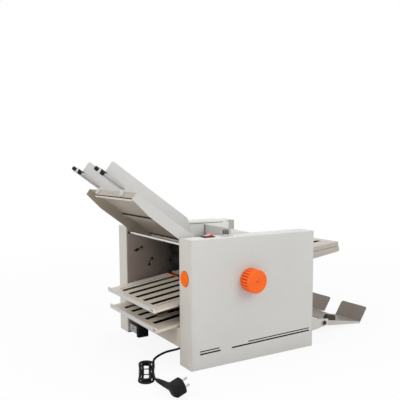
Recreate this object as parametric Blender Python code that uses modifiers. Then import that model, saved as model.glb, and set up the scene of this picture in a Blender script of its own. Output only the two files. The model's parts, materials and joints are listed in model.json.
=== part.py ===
"""Paper folding machine: a counter-top buckle folder with four fold plates.

Metres, +Z up. X runs along the paper path, from the feed tray to the delivery tray, and Y runs across
it. The operator stands at -Y, where the hand knob is. The origin is on the surface that the machine
stands on, under the middle of the base beam.
"""
import math

import bmesh
import bpy
from mathutils import Matrix, Vector

# Clearances and values that all pieces share
GAP = 0.0003
RUNNING_GAP = 0.001
OVERRUN = 0.004
SHEET = 0.0015
MERGE = 0.00001
ROUND_SIDES = 24
MEDIUM_SIDES = 16
SMALL_SIDES = 12
STUD_SIDES = 8

# Side housings: two frame plates with a bay between them, each under a folded cover
HOUSING_LENGTH = 0.420
HOUSING_HEIGHT = 0.350
BAY_WIDTH = 0.348
FRAME_THICKNESS = 0.004
FRAME_INSET = 0.0006
COVER_DEPTH = 0.0617
COVER_WALL = 0.0015
COVER_BEND = 0.003
LEFT_X = -HOUSING_LENGTH / 2
RIGHT_X = HOUSING_LENGTH / 2
BAY_HALF = BAY_WIDTH / 2
FRAME_OUTER = BAY_HALF + FRAME_THICKNESS
COVER_INNER = FRAME_OUTER + GAP
COVER_OUTER = COVER_INNER + COVER_DEPTH
BETWEEN_FRAMES = BAY_HALF - GAP

# Fold rollers: six alike, stepped down to the right, so that each touches the next
ROLLER_RADIUS = 0.025
ROLLER_PITCH = 0.0506
ROLLER_CHAMFER = 0.0012
ROLLER_END_PLAY = 0.006
JOURNAL_RADIUS = 0.006
KNOB_AXIS_X = -0.0237
KNOB_AXIS_DROP = 0.1218
KNOB_AXIS_Z = HOUSING_HEIGHT - KNOB_AXIS_DROP
ROLLER_HALF = BAY_HALF - ROLLER_END_PLAY
ROLLER_STEP_SHARES = {
    "first": (0, 1),
    "second": (0, 0),
    "third": (1, 0),
    "fourth": (1, -1),
    "fifth": (2, -1),
    "sixth": (2, -2),
}

# Gear train on the near frame, outside the bay
GEAR_TEETH = 20
IDLER_TEETH = 14
FEED_TEETH = 16
GEAR_MODULE = ROLLER_PITCH / GEAR_TEETH
GEAR_WIDTH = 0.012
GEAR_BACKLASH = 0.00025
PRESSURE_ANGLE = math.radians(20)
ADDENDUM_SHARE = 0.92
DEDENDUM_SHARE = 1.2
BOSS_RADIUS = 0.011
BOSS_LENGTH = 0.004
SHAFT_PROUD = 0.004
IDLER_STUD_RADIUS = 0.005

# Cross members between the frames
BEAM_WIDTH = 0.016
BEAM_HEIGHT = 0.020
TIE_ROD_INSET = 0.012
TIE_ROD_DROP = 0.019
TIE_ROD_X = LEFT_X + TIE_ROD_INSET
TIE_ROD_Z = HOUSING_HEIGHT - TIE_ROD_DROP
TIE_ROD_RADIUS = 0.0045
PANEL_INSET = 0.0012
PANEL_LIP = 0.010

# Fold plates: two sheets with a gap for the paper, slotted for the stop
PLATE_SIDE_CLEARANCE = 0.0125
PLATE_HALF_WIDTH = BAY_HALF - PLATE_SIDE_CLEARANCE
PLATE_SHEET = 0.0015
PLATE_PAPER_GAP = 0.004
PLATE_DEPTH = 2 * PLATE_SHEET + PLATE_PAPER_GAP
PLATE_SIDE_WALL = 0.0015
PLATE_LIP = 0.005
PLATE_LIP_RISE = 0.006
PLATE_SLOT_PITCH = 0.050
PLATE_SLOT_WIDTH = 0.019
PLATE_SLOTS = 5
PLATE_SLOT_MARGIN = 0.024
PLATE_STUD_RADIUS = 0.003
LEFT_TILT = math.radians(8)
UPPER_RIGHT_TILT = math.radians(5.46)
LOWER_RIGHT_TILT = math.radians(8)
MOUTH_PLACES = {
    "upper_left": (0.0207, -0.0325),
    "lower_left": (0.0687, -0.0818),
    "upper_right": (0.0257, 0.0306),
    "lower_right": (0.0787, -0.0047),
}


def mouth_of(label):
    """Place of a fold plate's mouth, from the knob's axis."""
    across, up = MOUTH_PLACES[label]
    return (KNOB_AXIS_X + across, KNOB_AXIS_Z + up)


UPPER_LEFT_MOUTH = mouth_of("upper_left")
UPPER_LEFT_LENGTH = 0.282
UPPER_LEFT_SLOT_START = 0.026
UPPER_LEFT_STOP = 0.068
LOWER_LEFT_MOUTH = mouth_of("lower_left")
LOWER_LEFT_LENGTH = 0.324
LOWER_LEFT_SLOT_START = 0.024
LOWER_LEFT_STOP = 0.106
UPPER_RIGHT_MOUTH = mouth_of("upper_right")
UPPER_RIGHT_LENGTH = 0.387
UPPER_RIGHT_STOP = 0.130
LOWER_RIGHT_MOUTH = mouth_of("lower_right")
LOWER_RIGHT_LENGTH = 0.340
LOWER_RIGHT_STOP = 0.090
UPPER_RIGHT_FLANGE = 0.014
LOWER_RIGHT_LIP_RISE = 0.010
FLANGE_OVERLAP_GAP = 0.001
STUD_SHARES = {
    "upper_left": (0.193, 0.870),
    "lower_left": (0.235, 0.902),
    "upper_right": (0.240, 0.889),
    "lower_right": (0.194, 0.903),
}

# Stops in the fold plates
STOP_BAR_CLEARANCE = 0.0115
STOP_BAR_HALF_WIDTH = PLATE_HALF_WIDTH - STOP_BAR_CLEARANCE
STOP_BAR_HEIGHT = 0.004
STOP_BAR_LENGTH = 0.008
STOP_FINGER_WIDTH = 0.012
STOP_KNOB_RADIUS = 0.006
STOP_KNOB_HEIGHT = 0.009

# Panels at the ends of the bay, below the fold plates
LEFT_PANEL_DROP = 0.0544
LEFT_PANEL_HIGH = LOWER_LEFT_MOUTH[1] - LEFT_PANEL_DROP
LEFT_PANEL_LOW_SHARE = 0.514
RIGHT_PANEL_RISE = 0.0085
RIGHT_PANEL_HEIGHT = 0.102
RIGHT_PANEL_HIGH = LOWER_RIGHT_MOUTH[1] + RIGHT_PANEL_RISE

# Belt drive from the motor to the hand knob's shaft
PULLEY_WIDTH = 0.013
PULLEY_RADIUS = 0.030
PULLEY_HUB_RADIUS = 0.018
PULLEY_FLANGE = 0.0035
PULLEY_FLANGE_WIDTH = 0.0015
PULLEY_START = FRAME_OUTER + BOSS_LENGTH + RUNNING_GAP
GEAR_START = PULLEY_START + PULLEY_WIDTH
PULLEY_END = GEAR_START - RUNNING_GAP
GEAR_END = GEAR_START + GEAR_WIDTH
NEAR_SHAFT_END = GEAR_END + SHAFT_PROUD
FAR_SHAFT_END = FRAME_OUTER + BOSS_LENGTH + SHAFT_PROUD
MOTOR_PULLEY_RADIUS = 0.012
BELT_THICKNESS = 0.0025
MOTOR_BEAM_CLEARANCE = 0.006
MOTOR_PLATE_CLEARANCE = 0.0444
MOTOR_LOW = BEAM_HEIGHT + MOTOR_BEAM_CLEARANCE
MOTOR_RADIUS = (LOWER_LEFT_MOUTH[1] - MOTOR_PLATE_CLEARANCE - MOTOR_LOW) / 2
MOTOR_LENGTH = 0.150
MOTOR_AXIS_Z = MOTOR_LOW + MOTOR_RADIUS
MOTOR_SHAFT_RADIUS = 0.004
MOTOR_SHAFT_DEPTH = 0.018
MOTOR_BELL_LENGTH = 0.022
MOTOR_BELL_SHARE = 0.895

# Feed roller, driven through the idler
FEED_AXIS_X = -0.074
FEED_AXIS_DROP = 0.025
FEED_AXIS_Z = HOUSING_HEIGHT - FEED_AXIS_DROP
FEED_RADIUS = 0.022
FEED_HALF_WIDTH = 0.030
FEED_SHAFT_RADIUS = 0.005
FEED_NIP_GAP = 0.0004

# Hand knob
KNOB_RADIUS = 0.0332
KNOB_DEPTH = 0.036
KNOB_RIBS = 30
KNOB_RIB_HEIGHT = 0.0014
KNOB_FACE_RADIUS = 0.0300
KNOB_CHAMFER = 0.004
KNOB_BORE_DEPTH = 0.024
KNOB_SCREW_RADIUS = 0.002
KNOB_SCREW_DEPTH = 0.003

# Cover cut-outs and what sits in them; shares of the housing's length and height
VENT_RISE_SHARE = 0.0207
VENT_SHARES = (
    (0.0588, 0.2136, 0.1180, 0.00914),
    (0.0590, 0.2043, 0.1406, 0.00571),
    (0.3017, 0.9669, 0.1240, 0.00914),
    (0.4336, 0.9629, 0.1497, 0.00571),
)
ADJUSTING_SLOT_SHARES = (
    ((0.0679, 0.7709), (0.1279, 0.7914)),
    ((0.1881, 0.6194), (0.2136, 0.6906)),
)
ADJUSTING_SLOT_RADIUS = 0.0032
PLUG_INSET = 0.025
PLUG_DROP = 0.1065
PLUG_Y = -COVER_INNER - PLUG_INSET
PLUG_Z = HOUSING_HEIGHT - PLUG_DROP
PLUG_RADIUS = 0.021
PLUG_STEM_RADIUS = 0.0185
PLUG_HEAD = 0.0022
PLUG_STEM_LENGTH = 0.005
CONTROLS_INSET = 0.0227
CONTROLS_Y = -COVER_INNER - CONTROLS_INSET
SWITCH_TO_FEED = 0.062
SWITCH_X = FEED_AXIS_X - SWITCH_TO_FEED
BEZEL_LENGTH = 0.031
BEZEL_WIDTH = 0.026
BEZEL_FLANGE = 0.0022
BEZEL_WALL = 0.003
BEZEL_BODY_DEPTH = 0.022
BEZEL_FLANGE_OVERLAP = 0.0016
ROCKER_CLEARANCE = 0.0005
ROCKER_PIVOT_DEPTH = 0.001
ROCKER_RISE = 0.0085
ROCKER_DIP = 0.0016
ROCKER_KEEL = 0.006
ROCKER_TILT = math.radians(12)
SWITCH_TO_SPEED = 0.058
SPEED_X = SWITCH_X + SWITCH_TO_SPEED
SPEED_SKIRT_RADIUS = 0.012
SPEED_SKIRT_HEIGHT = 0.003
SPEED_GRIP_RADIUS = 0.0088
SPEED_TOP_RADIUS = 0.0080
SPEED_HEIGHT = 0.0175
SPEED_CHAMFER = 0.0008
SPEED_SHAFT_RADIUS = 0.003
SPEED_SHAFT_LENGTH = 0.0014

# Feed tray: an inverted channel on a straight slope, flat under the feed roller
TRAY_SLOPE = 0.72
TRAY_ANGLE = math.atan(TRAY_SLOPE)
TRAY_ORIGIN_DROP = 0.115
TRAY_HEIGHT_AT_ORIGIN = HOUSING_HEIGHT - TRAY_ORIGIN_DROP
TRAY_OVERHANG = 0.122
TRAY_TIP_X = LEFT_X - TRAY_OVERHANG
TRAY_SIDE_CLEARANCE = 0.0025
TRAY_HALF_WIDTH = BAY_HALF - TRAY_SIDE_CLEARANCE
TRAY_TIP_DEPTH = 0.020
TRAY_BEND_OUT = 0.088
TRAY_BEND_DEPTH = 0.0366
TRAY_LOW_DROP = 0.003
TRAY_SEAT_HALF = 0.010
TRAY_FOOT_IN = 0.060
TRAY_FOOT_DROP = 0.038
TRAY_FLAT_LEAD = 0.034
TRAY_FLAT_FOOT_X = FEED_AXIS_X - TRAY_FLAT_LEAD
TRAY_FLAT_DEPTH = 0.0065
TRAY_FLAT_TAIL = 0.0085
TRAY_END_X = FEED_AXIS_X + TRAY_FLAT_TAIL
TRAY_FLAT_Z = FEED_AXIS_Z - FEED_RADIUS - FEED_NIP_GAP
TRAY_BREAK_X = (TRAY_HEIGHT_AT_ORIGIN - TRAY_FLAT_Z) / TRAY_SLOPE
TRAY_LIP_DEPTH = 0.009
TRAY_STRIP_LENGTH = 0.016
TRAY_STRIP_DROP = 0.004
TRAY_STRIP_OUT = 0.012
TRAY_STRIP_X = LEFT_X - TRAY_STRIP_OUT

# Separator pad under the feed roller
PAD_LENGTH = 0.014
PAD_WIDTH = 0.024
PAD_DEPTH = 0.009

# Side guides on the feed tray, each with a rod that carries an end stop
GUIDE_NEAR_SETTING = 0.086
GUIDE_FAR_SETTING = 0.084
GUIDE_NEAR_Y = -BAY_HALF + GUIDE_NEAR_SETTING
GUIDE_FAR_Y = BAY_HALF - GUIDE_FAR_SETTING
TRAY_FLANGE_RUNOUT = 0.010
TRAY_FLANGE_FAR_Y = GUIDE_FAR_Y + TRAY_FLANGE_RUNOUT
GUIDE_HEIGHT = 0.050
GUIDE_OVERHANG = 0.058
GUIDE_TOP_LEAD = 0.060
GUIDE_LOW_LEAD = 0.036
GUIDE_OUTER_X = TRAY_TIP_X - GUIDE_OVERHANG
GUIDE_INNER_TOP_X = FEED_AXIS_X - GUIDE_TOP_LEAD
GUIDE_INNER_LOW_X = FEED_AXIS_X - GUIDE_LOW_LEAD
GUIDE_CORNER = 0.006
GUIDE_BLOCK_LENGTH = 0.016
GUIDE_BLOCK_WIDTH = 0.012
GUIDE_BLOCK_HEIGHT = 0.010
GUIDE_HOOK_DEPTH = 0.014
GUIDE_ROD_RADIUS = 0.004
GUIDE_ROD_HEIGHT = 0.0055
GUIDE_ROD_OFFSET = 0.010
GUIDE_ROD_REACH = 0.085
GUIDE_ROD_TIP_X = TRAY_TIP_X - GUIDE_ROD_REACH
STOP_RADIUS = 0.0085
STOP_LENGTH = 0.012
STOP_PLACE = 0.004
STOP_SLEEVE_RADIUS = 0.0062
STOP_SLEEVE_LENGTH = 0.014
STOP_TONGUE_LENGTH = 0.030
STOP_TONGUE_WIDTH = 0.004
STOP_TONGUE_THICKNESS = 0.0025

# Feed head: a hood over the feed roller, standing on the sloping top cover
HOOD_HALF_WIDTH = 0.036
HOOD_WALL = 0.002
HOOD_RISE = 0.0245
HOOD_TOP_Z = HOUSING_HEIGHT + HOOD_RISE
HOOD_LEAD = 0.052
HOOD_CHEEK_LEAD = 0.0145
HOOD_CHEEK_DROP = 0.019
HOOD_STEP_TAIL = 0.028
HOOD_TAIL = 0.119
HOOD_LEFT_X = FEED_AXIS_X - HOOD_LEAD
HOOD_CHEEK_X = FEED_AXIS_X - HOOD_CHEEK_LEAD
HOOD_CHEEK_Z = HOUSING_HEIGHT - HOOD_CHEEK_DROP
HOOD_STEP_X = FEED_AXIS_X + HOOD_STEP_TAIL
HOOD_RIGHT_X = FEED_AXIS_X + HOOD_TAIL
HOOD_SHOULDER = 0.012
TOP_COVER_START = 0.032
TOP_COVER_BREAK_REACH = 0.054
TOP_COVER_RISE = 0.015
TOP_COVER_BREAK_RISE = 0.010
TOP_COVER_MIDDLE_DROP = 0.005
TOP_COVER_END_DROP = 0.044
TOP_COVER_END_INSET = 0.006
TOP_COVER_LEFT = (FEED_AXIS_X + TOP_COVER_START, HOUSING_HEIGHT + TOP_COVER_RISE)
TOP_COVER_BREAK = (FEED_AXIS_X + TOP_COVER_BREAK_REACH, HOUSING_HEIGHT + TOP_COVER_BREAK_RISE)
TOP_COVER_MIDDLE = (HOOD_RIGHT_X - SHEET * 2 / 3, HOUSING_HEIGHT - TOP_COVER_MIDDLE_DROP)
TOP_COVER_RIGHT = (RIGHT_X - TOP_COVER_END_INSET, HOUSING_HEIGHT - TOP_COVER_END_DROP)
TOP_COVER_FLANGE = 0.014
TOP_COVER_LIP = 0.032

# Paper guides inside the bay: shares of the way from the feed roller's axis to the knob's axis, and
# shares of the way from the sixth roller's axis to the right end and of that axis's height
INFEED_GUIDE_SHARES = (
    (0.2087, 0.2314),
    (0.3082, 0.2686),
    (0.3678, 0.3616),
    (0.3877, 0.5062),
    (0.4274, 0.6302),
    (0.5169, 0.7180),
    (0.6362, 0.7748),
)
EXIT_CHUTE_SHARES = (
    (0.2302, 1.1496),
    (0.4340, 1.1024),
    (0.6377, 0.9764),
    (0.8038, 0.7717),
    (0.9245, 0.5197),
)
GUIDE_SHEET = 0.001

# Delivery tray, on a bracket at the right end
BRACKET_SIDE_CLEARANCE = 0.0235
BRACKET_HALF_WIDTH = BAY_HALF - BRACKET_SIDE_CLEARANCE
TRAY_AXIS_REACH = 0.131
TRAY_AXIS_X = RIGHT_X + TRAY_AXIS_REACH
TRAY_AXIS_Z = 0.031
DELIVERY_TILT = math.radians(10)
DELIVERY_RISE = 0.0064
DELIVERY_TOP_AT_AXIS = TRAY_AXIS_Z + DELIVERY_RISE
DELIVERY_SIDE_CLEARANCE = 0.0055
DELIVERY_HALF_WIDTH = BRACKET_HALF_WIDTH - DELIVERY_SIDE_CLEARANCE
DELIVERY_START = 0.004
DELIVERY_LENGTH = 0.171
DELIVERY_START_X = TRAY_AXIS_X + DELIVERY_START
DELIVERY_END_X = DELIVERY_START_X + DELIVERY_LENGTH
DELIVERY_FLANGE_FOOT = 0.029
DELIVERY_FLANGE_LOW = 0.0155
DELIVERY_FLANGE_END = 0.0012
DELIVERY_EAR_RADIUS = 0.009
DELIVERY_TAB_RUN = 0.031
DELIVERY_TAB_RISE = 0.0465
DELIVERY_TAB_CORNER = 0.008
DELIVERY_NOTCH_HALF = 0.028
DELIVERY_NOTCH_DEPTH = 0.026
BRACKET_INSET = 0.004
BRACKET_END = 0.020
BRACKET_END_X = TRAY_AXIS_X + BRACKET_END
BRACKET_TOP_START = 0.058
BRACKET_LOW_START = 0.012
BRACKET_END_Z = 0.0405
BRACKET_LOW_REACH = 0.093
BRACKET_LOW_X = RIGHT_X + BRACKET_LOW_REACH
BRACKET_CORNER = 0.010
BRACKET_FLOOR_END = 0.011
BRACKET_FLOOR_END_X = TRAY_AXIS_X - BRACKET_FLOOR_END
PIVOT_RADIUS = 0.0025
PIVOT_HEAD_RADIUS = 0.0050
PIVOT_HEAD = 0.0025
SHEET_STOP_LENGTH = 0.040
SHEET_STOP_WIDTH = 0.014
SHEET_STOP_HEIGHT = 0.016
SHEET_STOP_REACH = 0.047
SHEET_STOP_INSET = 0.016
SHEET_STOP_X = TRAY_AXIS_X + SHEET_STOP_REACH
SHEET_STOP_Y = -DELIVERY_HALF_WIDTH + SHEET_STOP_INSET
SHEET_STOP_WALL = 0.002

# Foot and its bracket at the left end
FOOT_INSET = 0.071
FOOT_OUTSET = 0.004
FOOT_LOW = (LEFT_X + FOOT_OUTSET, BAY_HALF - FOOT_INSET)
FOOT_LENGTH = 0.036
FOOT_WIDTH = 0.018
FOOT_HEIGHT = 0.037
FOOT_CORNER = 0.004
FOOT_BRACKET_INSET = 0.005
FOOT_BRACKET_X = LEFT_X + FOOT_BRACKET_INSET
FOOT_BRACKET_LOW_Z = 0.008
FOOT_BRACKET_HIGH_Z = 0.031
FOOT_BRACKET_SHEET = 0.002
FOOT_BRACKET_FLANGE = 0.014

# Mains lead: gland, free lead, hank, tie and plug
CORD_RADIUS = 0.00325
CORD_SIDES_RESOLUTION = 2
GLAND_INSET = 0.045
GLAND_X = LEFT_X + GLAND_INSET
GLAND_Z = 0.040
GLAND_NUT_RADIUS = 0.0085
GLAND_NUT_LENGTH = 0.004
GLAND_NECK_RADIUS = 0.0065
GLAND_TIP_RADIUS = 0.0045
GLAND_LENGTH = 0.031
GLAND_SPIGOT_RADIUS = 0.005
LEAD_POINTS = 19
LEAD_ROUTE = (
    (-0.165, -0.1425, 0.040),
    (-0.165, -0.1355, 0.040),
    (-0.1685, -0.1235, 0.0335),
    (-0.1765, -0.1075, 0.0205),
    (-0.188, -0.0905, 0.0125),
    (-0.204, -0.0810, 0.0075),
    (-0.221, -0.0835, 0.0048),
    (-0.237, -0.0920, 0.0040),
    (-0.252, -0.1045, 0.0040),
    (-0.2630, -0.1185, 0.0041),
    (-0.2715, -0.1350, 0.0043),
    (-0.2788, -0.1504, 0.00445),
    (-0.28207, -0.15733, 0.00445),
)
HANK_RUN = 0.098
HANK_OUTER = 0.021
HANK_WAIST_SHARE = 0.12
HANK_TURNS = 1.5
HANK_LOOP_GAP = 0.0008
HANK_LAYER_GAP = 0.0005
HANK_START = (-0.2822, -0.1576)
HANK_HEADING = math.radians(-115.6)
HANK_EXIT_TURN = math.radians(25)
HANK_EXIT_RADIUS = 0.032
RUN_STEPS = 5
ARC_STEPS = 7
TIE_WIDTH = 0.006
TIE_THICKNESS = 0.0006
HANK_STEP = (2 * CORD_RADIUS + HANK_LOOP_GAP) / (1 - HANK_WAIST_SHARE)
HANK_LOW_Z = CORD_RADIUS + TIE_THICKNESS + 2 * GAP
HANK_HIGH_Z = HANK_LOW_Z + 2 * CORD_RADIUS + HANK_LAYER_GAP
PLUG_BOOT_RADIUS = 0.0048
PLUG_BOOT_END = 0.0078
PLUG_BOOT_LENGTH = 0.046
PLUG_NECK_HALF = (0.0115, 0.0105)
PLUG_NECK_LENGTH = 0.030
PLUG_ROOT_HALF = (0.0125, 0.0120)
PLUG_HEAD_HALF = (0.0180, 0.0200)
PLUG_BACK_HALF = (0.0120, 0.0135)
PLUG_FACE_HALF = (0.0165, 0.0185)
PLUG_HEAD_DEPTH = 0.032
PLUG_BACK_BEVEL = 0.007
PLUG_FACE_BEVEL = 0.002
PLUG_CLEARANCE = 0.001
PLUG_FACE_TURN = math.radians(-2)
PLUG_FACE_TILT = math.radians(20)
PLUG_SOFT_POWER = 0.85
PLUG_HARD_POWER = 0.75
PIN_RADIUS = 0.0024
PIN_LENGTH = 0.016
PIN_SPACING = 0.0095

# The fold plates: mouth, tilt, whether it points left, length, start of the slots, place of the stop
FOLD_PLATES = {
    "upper_left": (UPPER_LEFT_MOUTH, LEFT_TILT, True, UPPER_LEFT_LENGTH, UPPER_LEFT_SLOT_START, UPPER_LEFT_STOP),
    "lower_left": (LOWER_LEFT_MOUTH, LEFT_TILT, True, LOWER_LEFT_LENGTH, LOWER_LEFT_SLOT_START, LOWER_LEFT_STOP),
    "upper_right": (
        UPPER_RIGHT_MOUTH,
        UPPER_RIGHT_TILT,
        False,
        UPPER_RIGHT_LENGTH,
        PLATE_SLOT_MARGIN,
        UPPER_RIGHT_STOP,
    ),
    "lower_right": (
        LOWER_RIGHT_MOUTH,
        LOWER_RIGHT_TILT,
        False,
        LOWER_RIGHT_LENGTH,
        PLATE_SLOT_MARGIN,
        LOWER_RIGHT_STOP,
    ),
}

# Directions
TRAY_DOWN = Vector((math.cos(TRAY_ANGLE), 0, -math.sin(TRAY_ANGLE)))
TRAY_UP = Vector((math.sin(TRAY_ANGLE), 0, math.cos(TRAY_ANGLE)))
LENGTHWAYS, ACROSS, UPWARDS = Matrix.Identity(3)
TOWARD_OPERATOR = -ACROSS

# Finishes: base colour, roughness and metallic value
PAINT = ((0.66, 0.65, 0.62), 0.45, 0.0)
PLATE_PAINT = ((0.72, 0.68, 0.62), 0.45, 0.0)
FRAME_PAINT = ((0.30, 0.27, 0.25), 0.55, 0.0)
DELIVERY_PAINT = ((0.40, 0.35, 0.31), 0.40, 0.2)
GUIDE_PAINT = ((0.62, 0.62, 0.60), 0.45, 0.0)
STEEL = ((0.62, 0.62, 0.63), 0.28, 1.0)
GEAR_STEEL = ((0.35, 0.35, 0.36), 0.35, 1.0)
ROLLER_RUBBER = ((0.10, 0.10, 0.11), 0.60, 0.0)
ORANGE_PLASTIC = ((1.0, 0.16, 0.03), 0.35, 0.0)
BLACK_PLASTIC = ((0.02, 0.02, 0.02), 0.40, 0.0)
RED_PLASTIC = ((0.60, 0.02, 0.02), 0.25, 0.0)
GREY_PLASTIC = ((0.30, 0.31, 0.32), 0.40, 0.0)
BLACK_RUBBER = ((0.02, 0.02, 0.02), 0.70, 0.0)


def clear_scene():
    """Remove what the scene holds."""
    for obj in list(bpy.data.objects):
        bpy.data.objects.remove(obj, do_unlink=True)
    for group in (bpy.data.meshes, bpy.data.curves, bpy.data.materials, bpy.data.collections):
        for item in list(group):
            group.remove(item)


def new_collection(name):
    """A collection under the scene's own."""
    collection = bpy.data.collections.new(name)
    bpy.context.scene.collection.children.link(collection)
    return collection


clear_scene()
PARTS = new_collection("paper_folding_machine")
CUTTERS = new_collection("cutters")


# Modelling tools


def place(name, mesh, location=(0, 0, 0)):
    """Link a mesh as an object of the machine."""
    obj = bpy.data.objects.new(name, mesh)
    obj.location = location
    PARTS.objects.link(obj)
    return obj


def finished(obj, finish):
    """Give an object a material of its own."""
    colour, roughness, metallic = finish
    material = bpy.data.materials.new(obj.name + "_finish")
    material.use_nodes = True
    shader = material.node_tree.nodes["Principled BSDF"]
    shader.inputs["Base Color"].default_value = (*colour, 1)
    shader.inputs["Roughness"].default_value = roughness
    shader.inputs["Metallic"].default_value = metallic
    obj.data.materials.clear()
    obj.data.materials.append(material)
    return obj


def smooth(obj):
    """Shade the round faces smooth and keep the edges."""
    obj.data.shade_smooth()
    obj.data.set_sharp_from_angle(angle=math.radians(35))
    return obj


def box(name, low, high):
    """A block between two corners, with its origin in its middle."""
    low = Vector(low)
    high = Vector(high)
    mesh = bpy.data.meshes.new(name)
    bm = bmesh.new()
    bmesh.ops.create_cube(bm, size=1)
    bmesh.ops.scale(bm, vec=high - low, verts=bm.verts)
    bm.to_mesh(mesh)
    bm.free()
    return place(name, mesh, (low + high) / 2)


def boxes(name, rows):
    """Separate blocks in one mesh: rows of two corners."""
    mesh = bpy.data.meshes.new(name)
    bm = bmesh.new()
    for low, high in rows:
        size = Vector(high) - Vector(low)
        shape = Matrix.Translation((Vector(low) + Vector(high)) / 2) @ Matrix.Diagonal((*size, 1))
        bmesh.ops.create_cube(bm, size=1, matrix=shape)
    bm.to_mesh(mesh)
    bm.free()
    return place(name, mesh)


def add_cylinder(bm, start, end, radius, sides=ROUND_SIDES, end_radius=None):
    """Add one cylinder or cone to a mesh, from a start to an end."""
    axis = Vector(end) - Vector(start)
    turn = axis.to_track_quat("Z", "Y").to_matrix().to_4x4()
    middle = Matrix.Translation((Vector(start) + Vector(end)) / 2)
    tip = radius if end_radius is None else end_radius
    bmesh.ops.create_cone(
        bm, cap_ends=True, segments=sides, radius1=radius, radius2=tip, depth=axis.length, matrix=middle @ turn
    )


def cylinders(name, rows, sides=ROUND_SIDES):
    """Separate cylinders in one mesh: rows of start, end and radius."""
    mesh = bpy.data.meshes.new(name)
    bm = bmesh.new()
    for start, end, radius in rows:
        add_cylinder(bm, start, end, radius, sides)
    bm.to_mesh(mesh)
    bm.free()
    return place(name, mesh)


def bore_radius(radius, sides=ROUND_SIDES):
    """Radius of a faceted hole that clears a shaft."""
    return (radius + GAP) / math.cos(math.pi / sides)


def turned(name, profile, location, direction, sides=ROUND_SIDES):
    """A turned piece: radius and height pairs, from top to bottom, about an axis."""
    mesh = bpy.data.meshes.new(name)
    points = [(radius, 0, height) for radius, height in profile]
    edges = [(index, index + 1) for index in range(len(points) - 1)]
    mesh.from_pydata(points, edges, [])
    obj = place(name, mesh, location)
    screw = obj.modifiers.new("turn", "SCREW")
    screw.angle = math.tau
    screw.steps = sides
    screw.render_steps = sides
    screw.use_merge_vertices = True
    screw.merge_threshold = MERGE
    screw.use_smooth_shade = False
    obj.rotation_mode = "QUATERNION"
    obj.rotation_quaternion = Vector(direction).to_track_quat("Z", "Y")
    return obj


def plane_turn(plane):
    """Turn from a drawing's own axes to its plane: the third one is the axis that it is thickened along."""
    columns = {
        "XZ": (LENGTHWAYS, UPWARDS, TOWARD_OPERATOR),
        "YZ": (ACROSS, UPWARDS, LENGTHWAYS),
        "XY": (LENGTHWAYS, ACROSS, UPWARDS),
    }
    return Matrix(columns[plane]).transposed()


def welded(mesh):
    """Join a mesh's loose caps to its sides and turn its faces out."""
    bm = bmesh.new()
    bm.from_mesh(mesh)
    bmesh.ops.remove_doubles(bm, verts=bm.verts, dist=MERGE)
    bmesh.ops.recalc_face_normals(bm, faces=bm.faces)
    bm.to_mesh(mesh)
    bm.free()


def meshed(curve_object):
    """Replace a curve object by its mesh, in the same place."""
    depsgraph = bpy.context.evaluated_depsgraph_get()
    mesh = bpy.data.meshes.new_from_object(curve_object.evaluated_get(depsgraph))
    name = curve_object.name
    matrix = curve_object.matrix_world.copy()
    bpy.data.objects.remove(curve_object, do_unlink=True)
    welded(mesh)
    mesh.name = name
    obj = place(name, mesh)
    obj.matrix_world = matrix
    return obj


def flat(name, outlines, low, high, plane="XZ", anchor=None):
    """A flat piece: closed outlines, the first round the others, between two heights on the third axis."""
    turn = plane_turn(plane)
    normal = ACROSS if plane == "XZ" else turn.col[2]
    first = outlines[0]
    origin = anchor or (sum(p[0] for p in first) / len(first), sum(p[1] for p in first) / len(first))
    curve = bpy.data.curves.new(name, "CURVE")
    curve.dimensions = "2D"
    curve.fill_mode = "BOTH"
    curve.extrude = (high - low) / 2
    for outline in outlines:
        spline = curve.splines.new("POLY")
        spline.points.add(len(outline) - 1)
        for point, (across, along) in zip(spline.points, outline):
            point.co = (across - origin[0], along - origin[1], 0, 1)
        spline.use_cyclic_u = True
    obj = bpy.data.objects.new(name, curve)
    location = turn @ Vector((*origin, 0)) + normal * (low + high) / 2
    obj.matrix_world = Matrix.Translation(location) @ turn.to_4x4()
    PARTS.objects.link(obj)
    bpy.context.view_layer.update()
    return meshed(obj)


def boolean(obj, other, operation):
    """Join or cut an object by another, which becomes a guide."""
    modifier = obj.modifiers.new(other.name, "BOOLEAN")
    modifier.object = other
    modifier.operation = operation
    modifier.solver = "EXACT"
    PARTS.objects.unlink(other)
    CUTTERS.objects.link(other)
    other.hide_render = True
    other.display_type = "WIRE"
    return obj


def cut(obj, other):
    """Cut one object out of another."""
    return boolean(obj, other, "DIFFERENCE")


def joined(obj, other):
    """Weld one object to another."""
    return boolean(obj, other, "UNION")


def circle(centre, radius, sides=ROUND_SIDES, start=0.0):
    """Points of a circle in a plane."""
    steps = [start + math.tau * step / sides for step in range(sides)]
    return [(centre[0] + radius * math.cos(a), centre[1] + radius * math.sin(a)) for a in steps]


def rounded(points, radii, steps=4):
    """An outline with its corners turned to arcs; radii holds one radius a corner."""
    outline = []
    count = len(points)
    for index, (point, radius) in enumerate(zip(points, radii)):
        corner = Vector(point)
        back = (Vector(points[index - 1]) - corner).normalized()
        ahead = (Vector(points[(index + 1) % count]) - corner).normalized()
        if radius == 0:
            outline.append(tuple(corner))
            continue
        half = back.angle(ahead) / 2
        reach = radius / math.tan(half)
        centre = corner + (back + ahead).normalized() * radius / math.sin(half)
        first = corner + back * reach - centre
        last = corner + ahead * reach - centre
        start = math.atan2(first.y, first.x)
        sweep = math.atan2(first.x * last.y - first.y * last.x, first.dot(last))
        for step in range(steps + 1):
            angle = start + sweep * step / steps
            outline.append((centre.x + radius * math.cos(angle), centre.y + radius * math.sin(angle)))
    return outline


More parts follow.
